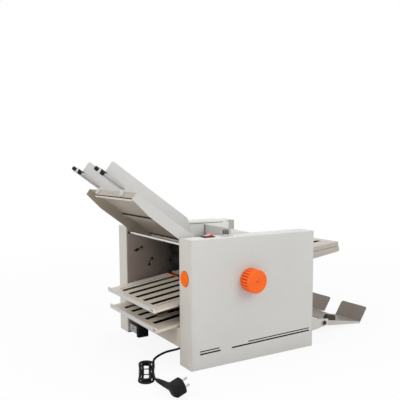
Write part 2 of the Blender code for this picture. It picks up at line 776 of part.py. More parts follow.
def bent_sheet(points, thickness):
    """Outline of a bent sheet: its points on one face, the other face to the right of their run."""
    other = []
    vectors = [Vector(point) for point in points]
    for index, point in enumerate(vectors):
        before = (point - vectors[max(index - 1, 0)]) if index else (vectors[1] - point)
        after = (vectors[index + 1] - point) if index < len(vectors) - 1 else before
        normal_before = Vector((before.y, -before.x)).normalized()
        normal_after = Vector((after.y, -after.x)).normalized()
        mitre = (normal_before + normal_after) / (1 + normal_before.dot(normal_after))
        other.append(tuple(point + mitre * thickness))
    return [tuple(point) for point in vectors] + other[::-1]


def loft(name, rings, looped=False):
    """A closed skin over rings that have the same count of points; a looped one ends where it began."""
    mesh = bpy.data.meshes.new(name)
    bm = bmesh.new()
    rows = [[bm.verts.new(point) for point in ring] for ring in rings]
    following_rows = rows[1:] + rows[:1] if looped else rows[1:]
    for lower, upper in zip(rows, following_rows):
        for index in range(len(lower)):
            following = (index + 1) % len(lower)
            bm.faces.new((lower[index], lower[following], upper[following], upper[index]))
    if not looped:
        bm.faces.new(rows[0][::-1])
        bm.faces.new(rows[-1])
    bmesh.ops.recalc_face_normals(bm, faces=bm.faces)
    if bm.calc_volume(signed=True) < 0:
        bmesh.ops.reverse_faces(bm, faces=bm.faces)
    bm.to_mesh(mesh)
    bm.free()
    return place(name, mesh)


def moved_to(obj, origin):
    """Put an object's origin on a point and keep its shape where it is."""
    shift = Vector(origin) - obj.location
    turn = obj.matrix_world.to_3x3().inverted()
    obj.data.transform(Matrix.Translation(-(turn @ shift)))
    obj.location = origin
    bpy.context.view_layer.update()
    return obj


def upright(outline, low, high, name, anchor=None):
    """A flat piece that stands along the paper path."""
    return flat(name, [outline], low, high, "XZ", anchor)


# Places of the rollers


def roller_centre(label):
    """X and Z of a fold roller's axis."""
    across, up = ROLLER_STEP_SHARES[label]
    return (KNOB_AXIS_X + across * ROLLER_PITCH, KNOB_AXIS_Z + up * ROLLER_PITCH)


def idler_centre():
    """X and Z of the idler, in mesh with the first gear and the feed gear."""
    first = Vector(roller_centre("first"))
    feed = Vector((FEED_AXIS_X, FEED_AXIS_Z))
    reach_first = GEAR_MODULE * (GEAR_TEETH + IDLER_TEETH) / 2
    reach_feed = GEAR_MODULE * (FEED_TEETH + IDLER_TEETH) / 2
    span = (feed - first).length
    along = (reach_first ** 2 - reach_feed ** 2 + span ** 2) / (2 * span)
    aside = math.sqrt(reach_first ** 2 - along ** 2)
    line = (feed - first) / span
    return tuple(first + line * along + Vector((-line.y, line.x)) * aside)


def tray_height(x):
    """Height of the feed tray's upper face."""
    return TRAY_HEIGHT_AT_ORIGIN - TRAY_SLOPE * x


def top_cover_height(x):
    """Height of the sloping top cover's upper face."""
    points = (TOP_COVER_LEFT, TOP_COVER_BREAK, TOP_COVER_MIDDLE, TOP_COVER_RIGHT)
    for (x0, z0), (x1, z1) in zip(points, points[1:]):
        if x <= x1:
            break
    return z0 + (z1 - z0) * (x - x0) / (x1 - x0)


# Fold plates are drawn lying flat, with the mouth at the origin, then placed


def plate_matrix(mouth, tilt, leftwards):
    """Place of a fold plate: its X runs from the mouth outwards."""
    sign = -1 if leftwards else 1
    outwards = Vector((sign * math.cos(tilt), 0, sign * math.sin(tilt)))
    upwards = Vector((-math.sin(tilt), 0, math.cos(tilt)))
    across = Vector((0, sign, 0))
    turn = Matrix((outwards, across, upwards)).transposed().to_4x4()
    return Matrix.Translation((mouth[0], 0, mouth[1])) @ turn


def slot_rows():
    """Y of each slot in a fold plate."""
    first = -(PLATE_SLOTS - 1) / 2
    return [(first + row) * PLATE_SLOT_PITCH for row in range(PLATE_SLOTS)]


def stud_points():
    """X and Z of each stud on the frames that a fold plate's edge bears on."""
    points = []
    for label, shares in STUD_SHARES.items():
        mouth, tilt, leftwards = FOLD_PLATES[label][:3]
        matrix = plate_matrix(mouth, tilt, leftwards)
        span = mouth[0] - LEFT_X if leftwards else RIGHT_X - mouth[0]
        for share in shares:
            point = matrix @ Vector((share * span, 0, -PLATE_DEPTH / 2))
            points.append((point.x, point.z))
    return points


# Frames


def shaft_rows():
    """X, Z and radius of every shaft that runs in the frames."""
    rows = [(*roller_centre(label), JOURNAL_RADIUS) for label in ROLLER_STEP_SHARES]
    rows.append((FEED_AXIS_X, FEED_AXIS_Z, FEED_SHAFT_RADIUS))
    return rows


def frame_plate(name, side):
    """One side frame with its bearing bosses and the studs for the fold plates."""
    inner = side * BAY_HALF
    outer = side * FRAME_OUTER
    low, high = sorted((inner, outer))
    outline = [
        (LEFT_X + FRAME_INSET, 0),
        (RIGHT_X - FRAME_INSET, 0),
        (RIGHT_X - FRAME_INSET, HOUSING_HEIGHT - FRAME_INSET),
        (LEFT_X + FRAME_INSET, HOUSING_HEIGHT - FRAME_INSET),
    ]
    plate = upright(outline, low, high, name)
    middle = (inner + outer) / 2
    boss_end = outer + side * BOSS_LENGTH
    bosses = [((x, middle, z), (x, boss_end, z), BOSS_RADIUS) for x, z, _ in shaft_rows()]
    joined(plate, cylinders(name + "_bosses", bosses, MEDIUM_SIDES))
    stud_end = side * (PLATE_HALF_WIDTH + GAP)
    studs = [((x, middle, z), (x, stud_end, z), PLATE_STUD_RADIUS) for x, z in stud_points()]
    joined(plate, cylinders(name + "_studs", studs, STUD_SIDES))
    start = inner - side * OVERRUN
    end = boss_end + side * OVERRUN
    holes = [((x, start, z), (x, end, z), bore_radius(radius, MEDIUM_SIDES)) for x, z, radius in shaft_rows()]
    if side < 0:
        x, z = idler_centre()
        joined(plate, cylinders(name + "_idler_stud", [((x, middle, z), (x, -GEAR_END, z), IDLER_STUD_RADIUS)]))
        holes.append(((KNOB_AXIS_X, start, MOTOR_AXIS_Z), (KNOB_AXIS_X, end, MOTOR_AXIS_Z), JOURNAL_RADIUS))
        gland_bore = bore_radius(GLAND_SPIGOT_RADIUS, MEDIUM_SIDES)
        holes.append(((GLAND_X, start, GLAND_Z), (GLAND_X, end, GLAND_Z), gland_bore))
    cut(plate, cylinders(name + "_bores", holes, MEDIUM_SIDES))
    if side > 0:
        cut(plate, adjusting_slots(name, low - OVERRUN, high + OVERRUN))
    return finished(plate, FRAME_PAINT)


def adjusting_slots(name, low, high):
    """Two slots with round ends in the far frame, where the guides inside are set."""
    radius = ADJUSTING_SLOT_RADIUS
    quarter = math.pi / 2
    outlines = []
    for shares in ADJUSTING_SLOT_SHARES:
        start, end = [Vector((LEFT_X + HOUSING_LENGTH * x, HOUSING_HEIGHT * z)) for x, z in shares]
        run = math.atan2(end.y - start.y, end.x - start.x)
        arc = [run + quarter * step / 2 for step in range(-2, 3)]
        tip = [(end.x + radius * math.cos(a), end.y + radius * math.sin(a)) for a in arc]
        tail = [(start.x - radius * math.cos(a), start.y - radius * math.sin(a)) for a in arc]
        outlines.append(tip + tail)
    return flat(name + "_adjusting_slots", outlines, low, high, "XZ")


# Covers


def cover_shell(name, side):
    """A folded cover over one frame, open towards the frame."""
    near, far = sorted((side * COVER_INNER, side * COVER_OUTER))
    cover = box(name, (LEFT_X, near, 0), (RIGHT_X, far, HOUSING_HEIGHT))
    bm = bmesh.new()
    bm.from_mesh(cover.data)
    inner_faces = [face for face in bm.faces if face.normal.y * side < -0.5]
    bmesh.ops.delete(bm, geom=inner_faces, context="FACES")
    bm.faces.ensure_lookup_table()
    outer_face = [face for face in bm.faces if face.normal.y * side > 0.5][0]
    bmesh.ops.bevel(bm, geom=list(outer_face.edges), offset=COVER_BEND, segments=2, profile=0.5, affect="EDGES")
    bm.to_mesh(cover.data)
    bm.free()
    wall = cover.modifiers.new("wall", "SOLIDIFY")
    wall.thickness = COVER_WALL
    wall.offset = -1
    wall.use_even_offset = True
    return cover


def vent_cutter():
    """The slits low on the near cover, on slightly rising lines."""
    outlines = []
    for start_share, end_share, height_share, width_share in VENT_SHARES:
        start = LEFT_X + HOUSING_LENGTH * start_share
        end = LEFT_X + HOUSING_LENGTH * end_share
        low = HOUSING_HEIGHT * height_share
        width = HOUSING_HEIGHT * width_share
        rise = (end - start) * VENT_RISE_SHARE
        outlines.append([(start, low), (end, low + rise), (end, low + rise + width), (start, low + width)])
    return flat("vents", outlines, -COVER_OUTER - OVERRUN, -COVER_OUTER + OVERRUN, "XZ")


def near_cover():
    """The cover on the operator's side, with its vents and openings."""
    cover = cover_shell("near_cover", -1)
    cut(cover, vent_cutter())
    knob_front = -COVER_OUTER - OVERRUN
    knob_back = -COVER_OUTER + OVERRUN
    axis = [((KNOB_AXIS_X, knob_front, KNOB_AXIS_Z), (KNOB_AXIS_X, knob_back, KNOB_AXIS_Z))]
    rows = [(axis[0][0], axis[0][1], JOURNAL_RADIUS + RUNNING_GAP)]
    plug_start = (LEFT_X - OVERRUN, PLUG_Y, PLUG_Z)
    plug_end = (LEFT_X + OVERRUN, PLUG_Y, PLUG_Z)
    rows.append((plug_start, plug_end, bore_radius(PLUG_STEM_RADIUS)))
    top = HOUSING_HEIGHT
    speed_start = (SPEED_X, CONTROLS_Y, top - OVERRUN)
    rows.append((speed_start, (SPEED_X, CONTROLS_Y, top + OVERRUN), bore_radius(SPEED_SHAFT_RADIUS)))
    cut(cover, cylinders("cover_bores", rows))
    length = BEZEL_LENGTH / 2 - BEZEL_FLANGE_OVERLAP + GAP
    width = BEZEL_WIDTH / 2 - BEZEL_FLANGE_OVERLAP + GAP
    low = (SWITCH_X - length, CONTROLS_Y - width, top - OVERRUN)
    high = (SWITCH_X + length, CONTROLS_Y + width, top + OVERRUN)
    cut(cover, box("switch_opening", low, high))
    return finished(cover, PAINT)


def covers():
    """Both side covers."""
    near_cover()
    finished(cover_shell("far_cover", 1), PAINT)


# Gears


def involute(angle):
    """The involute function."""
    return math.tan(angle) - angle


def gear_outline(teeth, phase, centre):
    """Outline of an involute gear; phase turns the middle of its first tooth."""
    pitch = GEAR_MODULE * teeth / 2
    base = pitch * math.cos(PRESSURE_ANGLE)
    tip = pitch + ADDENDUM_SHARE * GEAR_MODULE
    root = pitch - DEDENDUM_SHARE * GEAR_MODULE
    half_at_pitch = math.pi / (2 * teeth) - GEAR_BACKLASH / (2 * pitch)
    flank = []
    for radius in (root, pitch, tip):
        angle = math.acos(min(base / radius, 1))
        flank.append((radius, half_at_pitch + involute(PRESSURE_ANGLE) - involute(angle)))
    points = []
    for tooth in range(teeth):
        middle = phase + math.tau * tooth / teeth
        sides = [(r, middle - half) for r, half in flank] + [(r, middle + half) for r, half in reversed(flank)]
        points += [(centre[0] + r * math.cos(a), centre[1] + r * math.sin(a)) for r, a in sides]
    return points


def meshing_phase(phase, teeth, centre, next_teeth, next_centre):
    """Phase of a gear that lets it mesh with the one before it."""
    line = math.atan2(next_centre[1] - centre[1], next_centre[0] - centre[0])
    ratio = teeth / next_teeth
    return line + math.pi - ratio * (phase - line) + math.pi / next_teeth


def gear(name, teeth, phase, centre, shaft_radius):
    """One spur gear with its bore, standing on the near frame's side."""
    outline = gear_outline(teeth, phase, centre)
    bore = circle(centre, bore_radius(shaft_radius))
    return flat(name, [outline, bore], -GEAR_END, -GEAR_START, "XZ", anchor=centre)


def gear_phases():
    """Phase of every gear, worked out from the main one along the train."""
    phases = {"second": 0.0}
    train = (("first", "second"), ("third", "second"), ("fourth", "third"), ("fifth", "fourth"), ("sixth", "fifth"))
    for label, before in train:
        start = roller_centre(before)
        phases[label] = meshing_phase(phases[before], GEAR_TEETH, start, GEAR_TEETH, roller_centre(label))
    first = roller_centre("first")
    phases["idler"] = meshing_phase(phases["first"], GEAR_TEETH, first, IDLER_TEETH, idler_centre())
    feed = (FEED_AXIS_X, FEED_AXIS_Z)
    phases["feed"] = meshing_phase(phases["idler"], IDLER_TEETH, idler_centre(), FEED_TEETH, feed)
    return phases


def pulley_profile(radius, start, end):
    """A flanged pulley's profile, from its near end to its far end."""
    rim = radius + PULLEY_FLANGE
    return [
        (rim, end),
        (rim, end - PULLEY_FLANGE_WIDTH),
        (radius, end - PULLEY_FLANGE_WIDTH),
        (radius, start + PULLEY_FLANGE_WIDTH),
        (rim, start + PULLEY_FLANGE_WIDTH),
        (rim, start),
    ]


def gear_train():
    """The gears, with the driven pulley on the main one."""
    phases = gear_phases()
    for label in ROLLER_STEP_SHARES:
        if label != "second":
            piece = gear(label + "_gear", GEAR_TEETH, phases[label], roller_centre(label), JOURNAL_RADIUS)
            finished(piece, GEAR_STEEL)
    finished(gear("idler_gear", IDLER_TEETH, phases["idler"], idler_centre(), IDLER_STUD_RADIUS), GEAR_STEEL)
    feed = (FEED_AXIS_X, FEED_AXIS_Z)
    finished(gear("feed_gear", FEED_TEETH, phases["feed"], feed, FEED_SHAFT_RADIUS), GEAR_STEEL)
    centre = roller_centre("second")
    outline = gear_outline(GEAR_TEETH, phases["second"], centre)
    main = flat("main_gear", [outline], -GEAR_END, -GEAR_START, "XZ", anchor=centre)
    hub_end = GEAR_START + GEAR_WIDTH / 4
    profile = [(0, hub_end), (PULLEY_HUB_RADIUS, hub_end), (PULLEY_HUB_RADIUS, PULLEY_END)]
    profile += pulley_profile(PULLEY_RADIUS, PULLEY_START, PULLEY_END) + [(0, PULLEY_START)]
    axis_place = (centre[0], 0, centre[1])
    joined(main, turned("main_pulley", profile, axis_place, TOWARD_OPERATOR))
    start = (centre[0], -PULLEY_START + OVERRUN, centre[1])
    end = (centre[0], -GEAR_END - OVERRUN, centre[1])
    cut(main, cylinders("main_bore", [(start, end, bore_radius(JOURNAL_RADIUS))]))
    finished(main, GEAR_STEEL)


def belt_and_motor():
    """The motor in the bay, its pulley, and the belt up to the main gear."""
    top = (KNOB_AXIS_X, KNOB_AXIS_Z)
    low = (KNOB_AXIS_X, MOTOR_AXIS_Z)
    loops = []
    for grow in (GAP + BELT_THICKNESS, GAP):
        upper_radius = PULLEY_RADIUS + grow
        lower_radius = MOTOR_PULLEY_RADIUS + grow
        lean = math.asin((upper_radius - lower_radius) / (top[1] - low[1]))
        spread = math.pi / 2 + lean
        loop = []
        for step in range(SMALL_SIDES + 1):
            angle = math.pi / 2 - spread + 2 * spread * step / SMALL_SIDES
            loop.append((top[0] + upper_radius * math.cos(angle), top[1] + upper_radius * math.sin(angle)))
        rest = math.pi - spread
        for step in range(SMALL_SIDES + 1):
            angle = -math.pi / 2 - rest + 2 * rest * step / SMALL_SIDES
            loop.append((low[0] + lower_radius * math.cos(angle), low[1] + lower_radius * math.sin(angle)))
        loops.append(loop)
    start = PULLEY_START + PULLEY_FLANGE_WIDTH + RUNNING_GAP
    end = PULLEY_END - PULLEY_FLANGE_WIDTH - RUNNING_GAP
    finished(flat("drive_belt", loops, -end, -start, "XZ"), BLACK_RUBBER)
    place_of_motor = (KNOB_AXIS_X, 0, MOTOR_AXIS_Z)
    profile = pulley_profile(MOTOR_PULLEY_RADIUS, PULLEY_START, PULLEY_END)
    shaft_end = BETWEEN_FRAMES - MOTOR_SHAFT_DEPTH
    profile = [(0, profile[0][1])] + profile + [
        (MOTOR_SHAFT_RADIUS, PULLEY_START),
        (MOTOR_SHAFT_RADIUS, shaft_end),
        (0, shaft_end),
    ]
    pulley = turned("motor_pulley", profile, place_of_motor, TOWARD_OPERATOR)
    smooth(finished(pulley, GEAR_STEEL))
    front = BETWEEN_FRAMES
    back = front - MOTOR_LENGTH
    body = MOTOR_RADIUS * MOTOR_BELL_SHARE
    bore = MOTOR_SHAFT_RADIUS + GAP
    floor = shaft_end - GAP
    profile = [
        (bore, front),
        (body, front),
        (body, front - MOTOR_BELL_LENGTH),
        (MOTOR_RADIUS, front - MOTOR_BELL_LENGTH),
        (MOTOR_RADIUS, back + MOTOR_BELL_LENGTH),
        (body, back + MOTOR_BELL_LENGTH),
        (body, back),
        (0, back),
    ]
    profile = [(0, floor), (bore, floor)] + profile
    motor = turned("drive_motor", profile, place_of_motor, TOWARD_OPERATOR)
    smooth(finished(motor, GEAR_STEEL))


# Rollers and the knob


def fold_roller(name, label, near_end):
    """One fold roller with its journals, turned in one piece."""
    x, z = roller_centre(label)
    profile = [
        (0, near_end),
        (JOURNAL_RADIUS, near_end),
        (JOURNAL_RADIUS, ROLLER_HALF),
        (ROLLER_RADIUS - ROLLER_CHAMFER, ROLLER_HALF),
        (ROLLER_RADIUS, ROLLER_HALF - ROLLER_CHAMFER),
        (ROLLER_RADIUS, -ROLLER_HALF + ROLLER_CHAMFER),
        (ROLLER_RADIUS - ROLLER_CHAMFER, -ROLLER_HALF),
        (JOURNAL_RADIUS, -ROLLER_HALF),
        (JOURNAL_RADIUS, -FAR_SHAFT_END),
        (0, -FAR_SHAFT_END),
    ]
    return smooth(finished(turned(name, profile, (x, 0, z), TOWARD_OPERATOR), ROLLER_RUBBER))


def rollers():
    """All fold rollers and the feed roller."""
    for label in ROLLER_STEP_SHARES:
        if label != "second":
            fold_roller(label + "_roller", label, NEAR_SHAFT_END)
    knob_seat = COVER_OUTER + RUNNING_GAP + KNOB_BORE_DEPTH - GAP
    fold_roller("main_roller", "second", knob_seat)
    profile = [
        (0, NEAR_SHAFT_END),
        (FEED_SHAFT_RADIUS, NEAR_SHAFT_END),
        (FEED_SHAFT_RADIUS, FEED_HALF_WIDTH),
        (FEED_RADIUS - ROLLER_CHAMFER, FEED_HALF_WIDTH),
        (FEED_RADIUS, FEED_HALF_WIDTH - ROLLER_CHAMFER),
        (FEED_RADIUS, -FEED_HALF_WIDTH + ROLLER_CHAMFER),
        (FEED_RADIUS - ROLLER_CHAMFER, -FEED_HALF_WIDTH),
        (FEED_SHAFT_RADIUS, -FEED_HALF_WIDTH),
        (FEED_SHAFT_RADIUS, -FAR_SHAFT_END),
        (0, -FAR_SHAFT_END),
    ]
    feed = turned("feed_roller", profile, (FEED_AXIS_X, 0, FEED_AXIS_Z), TOWARD_OPERATOR)
    smooth(finished(feed, ROLLER_RUBBER))


def hand_knob():
    """The ribbed knob on the main roller's shaft."""
    sides = 2 * KNOB_RIBS
    back = COVER_OUTER + RUNNING_GAP
    front = back + KNOB_DEPTH

    def ring(outer, inner, distance):
        points = []
        for step in range(sides):
            radius = inner if step % 2 else outer
            angle = math.tau * step / sides
            points.append((radius * math.cos(angle), -distance, radius * math.sin(angle)))
        return points

    valley = KNOB_RADIUS - KNOB_RIB_HEIGHT
    rings = [
        ring(KNOB_RADIUS, valley, back),
        ring(KNOB_RADIUS, valley, front - KNOB_CHAMFER),
        ring(KNOB_FACE_RADIUS, KNOB_FACE_RADIUS, front),
    ]
    knob = loft("hand_knob", rings)
    knob.location = (KNOB_AXIS_X, 0, KNOB_AXIS_Z)
    bore_start = (KNOB_AXIS_X, -back + OVERRUN, KNOB_AXIS_Z)
    bore_end = (KNOB_AXIS_X, -back - KNOB_BORE_DEPTH, KNOB_AXIS_Z)
    cut(knob, cylinders("knob_bore", [(bore_start, bore_end, bore_radius(JOURNAL_RADIUS))]))
    screw_start = (KNOB_AXIS_X, -front - OVERRUN, KNOB_AXIS_Z)
    screw_end = (KNOB_AXIS_X, -front + KNOB_SCREW_DEPTH, KNOB_AXIS_Z)
    cut(knob, cylinders("knob_screw", [(screw_start, screw_end, KNOB_SCREW_RADIUS)], SMALL_SIDES))
    return finished(knob, ORANGE_PLASTIC)


# Controls on the near cover


def side_plug():
    """The round orange cap in the cover's narrow left face."""
    profile = [
        (0, PLUG_HEAD),
        (PLUG_RADIUS - PLUG_HEAD / 2, PLUG_HEAD),
        (PLUG_RADIUS, PLUG_HEAD / 2),
        (PLUG_RADIUS, GAP),
        (PLUG_STEM_RADIUS, GAP),
        (PLUG_STEM_RADIUS, -PLUG_STEM_LENGTH),
        (0, -PLUG_STEM_LENGTH),
    ]
    plug = turned("side_plug", profile, (LEFT_X, PLUG_Y, PLUG_Z), -LENGTHWAYS, 32)
    return smooth(finished(plug, ORANGE_PLASTIC))


def switch():
    """The rocker switch: its bezel in the cover and its rocker."""
    top = HOUSING_HEIGHT + GAP
    half_length = BEZEL_LENGTH / 2
    half_width = BEZEL_WIDTH / 2
    low = (SWITCH_X - half_length, CONTROLS_Y - half_width, top)
    high = (SWITCH_X + half_length, CONTROLS_Y + half_width, top + BEZEL_FLANGE)
    bezel = box("switch_bezel", low, high)
    body_length = half_length - BEZEL_FLANGE_OVERLAP
    body_width = half_width - BEZEL_FLANGE_OVERLAP
    low = (SWITCH_X - body_length, CONTROLS_Y - body_width, top - BEZEL_BODY_DEPTH)
    high = (SWITCH_X + body_length, CONTROLS_Y + body_width, top + BEZEL_FLANGE / 2)
    joined(bezel, box("switch_body", low, high))
    well_length = half_length - BEZEL_WALL
    well_width = half_width - BEZEL_WALL
    low = (SWITCH_X - well_length, CONTROLS_Y - well_width, top - BEZEL_BODY_DEPTH + BEZEL_WALL)
    high = (SWITCH_X + well_length, CONTROLS_Y + well_width, top + BEZEL_FLANGE + OVERRUN)
    cut(bezel, box("switch_well", low, high))
    finished(bezel, BLACK_PLASTIC)
    pivot_z = HOUSING_HEIGHT - ROCKER_PIVOT_DEPTH
    reach = well_length - ROCKER_CLEARANCE
    top_reach = reach - ROCKER_CLEARANCE
    shape = [
        (-reach, -ROCKER_KEEL / 2),
        (0, -ROCKER_KEEL),
        (reach, -ROCKER_KEEL / 2),
        (top_reach, ROCKER_RISE),
        (0, ROCKER_RISE - ROCKER_DIP),
        (-top_reach, ROCKER_RISE),
    ]
    turn = Matrix.Rotation(ROCKER_TILT, 2)
    outline = [tuple(turn @ Vector(point) * math.cos(2 * ROCKER_TILT)) for point in shape]
    outline = [(SWITCH_X + x, pivot_z + z) for x, z in outline]
    half = well_width - ROCKER_CLEARANCE
    rocker = flat(
        "rocker", [outline], CONTROLS_Y - half, CONTROLS_Y + half, "XZ", anchor=(SWITCH_X, pivot_z)
    )
    return finished(rocker, RED_PLASTIC)


def speed_knob():
    """The speed control's knob, with a skirt over the dial."""
    base = GAP
    profile = [
        (0, SPEED_HEIGHT),
        (SPEED_TOP_RADIUS - SPEED_CHAMFER, SPEED_HEIGHT),
        (SPEED_TOP_RADIUS, SPEED_HEIGHT - SPEED_CHAMFER),
        (SPEED_GRIP_RADIUS, SPEED_SKIRT_HEIGHT),
        (SPEED_SKIRT_RADIUS, SPEED_SKIRT_HEIGHT / 2),
        (SPEED_SKIRT_RADIUS, base),
        (SPEED_SHAFT_RADIUS, base),
        (SPEED_SHAFT_RADIUS, -SPEED_SHAFT_LENGTH),
        (0, -SPEED_SHAFT_LENGTH),
    ]
    knob = turned("speed_knob", profile, (SPEED_X, CONTROLS_Y, HOUSING_HEIGHT), UPWARDS)
    return smooth(finished(knob, GREY_PLASTIC))


# Cross members


def cross_members():
    """What ties the frames together, and the panels at the ends of the bay."""
    low = (-BEAM_WIDTH / 2, -BETWEEN_FRAMES, 0)
    high = (BEAM_WIDTH / 2, BETWEEN_FRAMES, BEAM_HEIGHT)
    finished(box("base_beam", low, high), FRAME_PAINT)
    start = (TIE_ROD_X, -BETWEEN_FRAMES, TIE_ROD_Z)
    end = (TIE_ROD_X, BETWEEN_FRAMES, TIE_ROD_Z)
    rod = moved_to(cylinders("tie_rod", [(start, end, TIE_ROD_RADIUS)]), (TIE_ROD_X, 0, TIE_ROD_Z))
    smooth(finished(rod, STEEL))
    left = LEFT_X + PANEL_INSET
    left_low = LEFT_PANEL_HIGH * LEFT_PANEL_LOW_SHARE
    points = [(left, left_low), (left, LEFT_PANEL_HIGH), (left + PANEL_LIP, LEFT_PANEL_HIGH)]
    outline = bent_sheet(points, SHEET)
    finished(upright(outline, -BETWEEN_FRAMES, BETWEEN_FRAMES, "left_panel"), PAINT)
    right = RIGHT_X - PANEL_INSET
    right_low = RIGHT_PANEL_HIGH - RIGHT_PANEL_HEIGHT
    points = [(right - PANEL_LIP, RIGHT_PANEL_HIGH), (right, RIGHT_PANEL_HIGH), (right, right_low)]
    outline = bent_sheet(points, SHEET)
    finished(upright(outline, -BETWEEN_FRAMES, BETWEEN_FRAMES, "right_panel"), PAINT)


# Feed end


def feed_tray():
    """The sloping tray: top sheet, two side walls, an end flange with a lip, and cross strips."""
    tip = Vector((TRAY_TIP_X, tray_height(TRAY_TIP_X)))
    back = Vector((math.cos(TRAY_ANGLE), -math.sin(TRAY_ANGLE)))
    up = Vector((-back.y, back.x))
    rim = SHEET / 5
    tucked = TRAY_HALF_WIDTH - SHEET / 2
    top = [tuple(tip + back * SHEET / 2), (TRAY_BREAK_X, TRAY_FLAT_Z), (TRAY_END_X, TRAY_FLAT_Z)]
    tray = upright(bent_sheet(top, SHEET), -tucked, tucked, "feed_tray")
    seat = TIE_ROD_Z + TIE_ROD_RADIUS + GAP
    wall_tip = tip + back * SHEET / 4
    bend_x = LEFT_X - TRAY_BEND_OUT
    wall = [
        tuple(wall_tip + up * rim),
        tuple(wall_tip - up * (TRAY_TIP_DEPTH - SHEET / 4)),
        (bend_x, tray_height(bend_x) - TRAY_BEND_DEPTH),
        (LEFT_X, HOUSING_HEIGHT - TRAY_LOW_DROP),
        (TIE_ROD_X - TRAY_SEAT_HALF, seat),
        (TIE_ROD_X + TRAY_SEAT_HALF, seat),
        (LEFT_X + TRAY_FOOT_IN, HOUSING_HEIGHT - TRAY_FOOT_DROP),
        (TRAY_FLAT_FOOT_X, TRAY_FLAT_Z - TRAY_FLAT_DEPTH),
        (TRAY_END_X - SHEET, TRAY_FLAT_Z - TRAY_FLAT_DEPTH),
        (TRAY_END_X - SHEET, TRAY_FLAT_Z + rim),
        (TRAY_BREAK_X, TRAY_FLAT_Z + rim),
    ]
    for label, low in (("near", -TRAY_HALF_WIDTH), ("far", TRAY_HALF_WIDTH - SHEET)):
        joined(tray, upright(wall, low, low + SHEET, f"tray_{label}_wall"))
    corner = tip - up * TRAY_TIP_DEPTH
    lip = [tuple(corner + back * TRAY_LIP_DEPTH), tuple(corner), tuple(tip + up * rim / 2)]
    flange_low = -TRAY_HALF_WIDTH + SHEET / 3
    joined(tray, upright(bent_sheet(lip, SHEET), flange_low, TRAY_FLANGE_FAR_Y, "tray_end_flange"))
    strip_start = Vector((TRAY_STRIP_X, tray_height(TRAY_STRIP_X))) - up * SHEET / 2
    drop = up * (SHEET + TRAY_STRIP_DROP)
    run = back * TRAY_STRIP_LENGTH
    strip = [tuple(p) for p in (strip_start, strip_start + run, strip_start + run - drop, strip_start - drop)]
    inner = tucked - GAP
    joined(tray, upright(strip, -inner, inner, "tray_strip"))
    half = PAD_LENGTH / 2 + GAP
    low = (FEED_AXIS_X - half, -PAD_WIDTH / 2 - GAP, TRAY_FLAT_Z - OVERRUN)
    high = (FEED_AXIS_X + half, PAD_WIDTH / 2 + GAP, TRAY_FLAT_Z + OVERRUN)
    cut(tray, box("pad_window", low, high))
    finished(tray, PAINT)
    low = (FEED_AXIS_X - PAD_LENGTH / 2, -PAD_WIDTH / 2, TRAY_FLAT_Z - PAD_DEPTH)
    high = (FEED_AXIS_X + PAD_LENGTH / 2, PAD_WIDTH / 2, TRAY_FLAT_Z)
    finished(box("separator_pad", low, high), BLACK_RUBBER)


def guide_rod_point(x, y):
    """A point on a guide rod's axis."""
    return Vector((x, y, tray_height(x))) + TRAY_UP * GUIDE_ROD_HEIGHT


def side_guide(name, y):
    """A side guide: its wing, the block hooked over the tray's end, and its rod."""
    lift = GAP / math.cos(TRAY_ANGLE)
    foot_x = GUIDE_OUTER_X
    foot = Vector((foot_x, tray_height(foot_x) + lift))
    rise = Vector((math.sin(TRAY_ANGLE), math.cos(TRAY_ANGLE))) * GUIDE_HEIGHT
    inner_top = (GUIDE_INNER_TOP_X, tray_height(GUIDE_INNER_TOP_X - rise.x) + rise.y)
    inner_low = (GUIDE_INNER_LOW_X, tray_height(GUIDE_INNER_LOW_X) + lift)
    corners = [tuple(foot), inner_low, inner_top, tuple(foot + rise)]
    outline = rounded(corners, (0, 0, GUIDE_CORNER, GUIDE_CORNER))
    low = y - SHEET / 2
    wing = upright(outline, low, low + SHEET, name)
    tip = Vector((TRAY_TIP_X, tray_height(TRAY_TIP_X)))
    along = Vector((math.cos(TRAY_ANGLE), -math.sin(TRAY_ANGLE)))
    up = Vector((math.sin(TRAY_ANGLE), math.cos(TRAY_ANGLE)))
    face = tip - along * GAP + up * GAP
    block = [
        tuple(face + along * GUIDE_BLOCK_LENGTH / 2),
        tuple(face + along * GUIDE_BLOCK_LENGTH / 2 + up * GUIDE_BLOCK_HEIGHT),
        tuple(face - along * GUIDE_BLOCK_LENGTH / 2 + up * GUIDE_BLOCK_HEIGHT),
        tuple(face - along * GUIDE_BLOCK_LENGTH / 2 + up * 0),
        tuple(face - along * SHEET * 2 - up * GUIDE_HOOK_DEPTH),
        tuple(face - up * GUIDE_HOOK_DEPTH),
        tuple(face),
    ]
    block_far = y + SHEET / 2
    joined(wing, upright(block, block_far - GUIDE_BLOCK_WIDTH - SHEET, block_far, name + "_block"))
    rod_y = y - GUIDE_ROD_OFFSET
    inner = guide_rod_point(TRAY_TIP_X, rod_y)
    outer = guide_rod_point(GUIDE_ROD_TIP_X, rod_y)
    joined(wing, cylinders(name + "_rod", [(inner, outer, GUIDE_ROD_RADIUS)], 16))
    return finished(wing, GUIDE_PAINT)


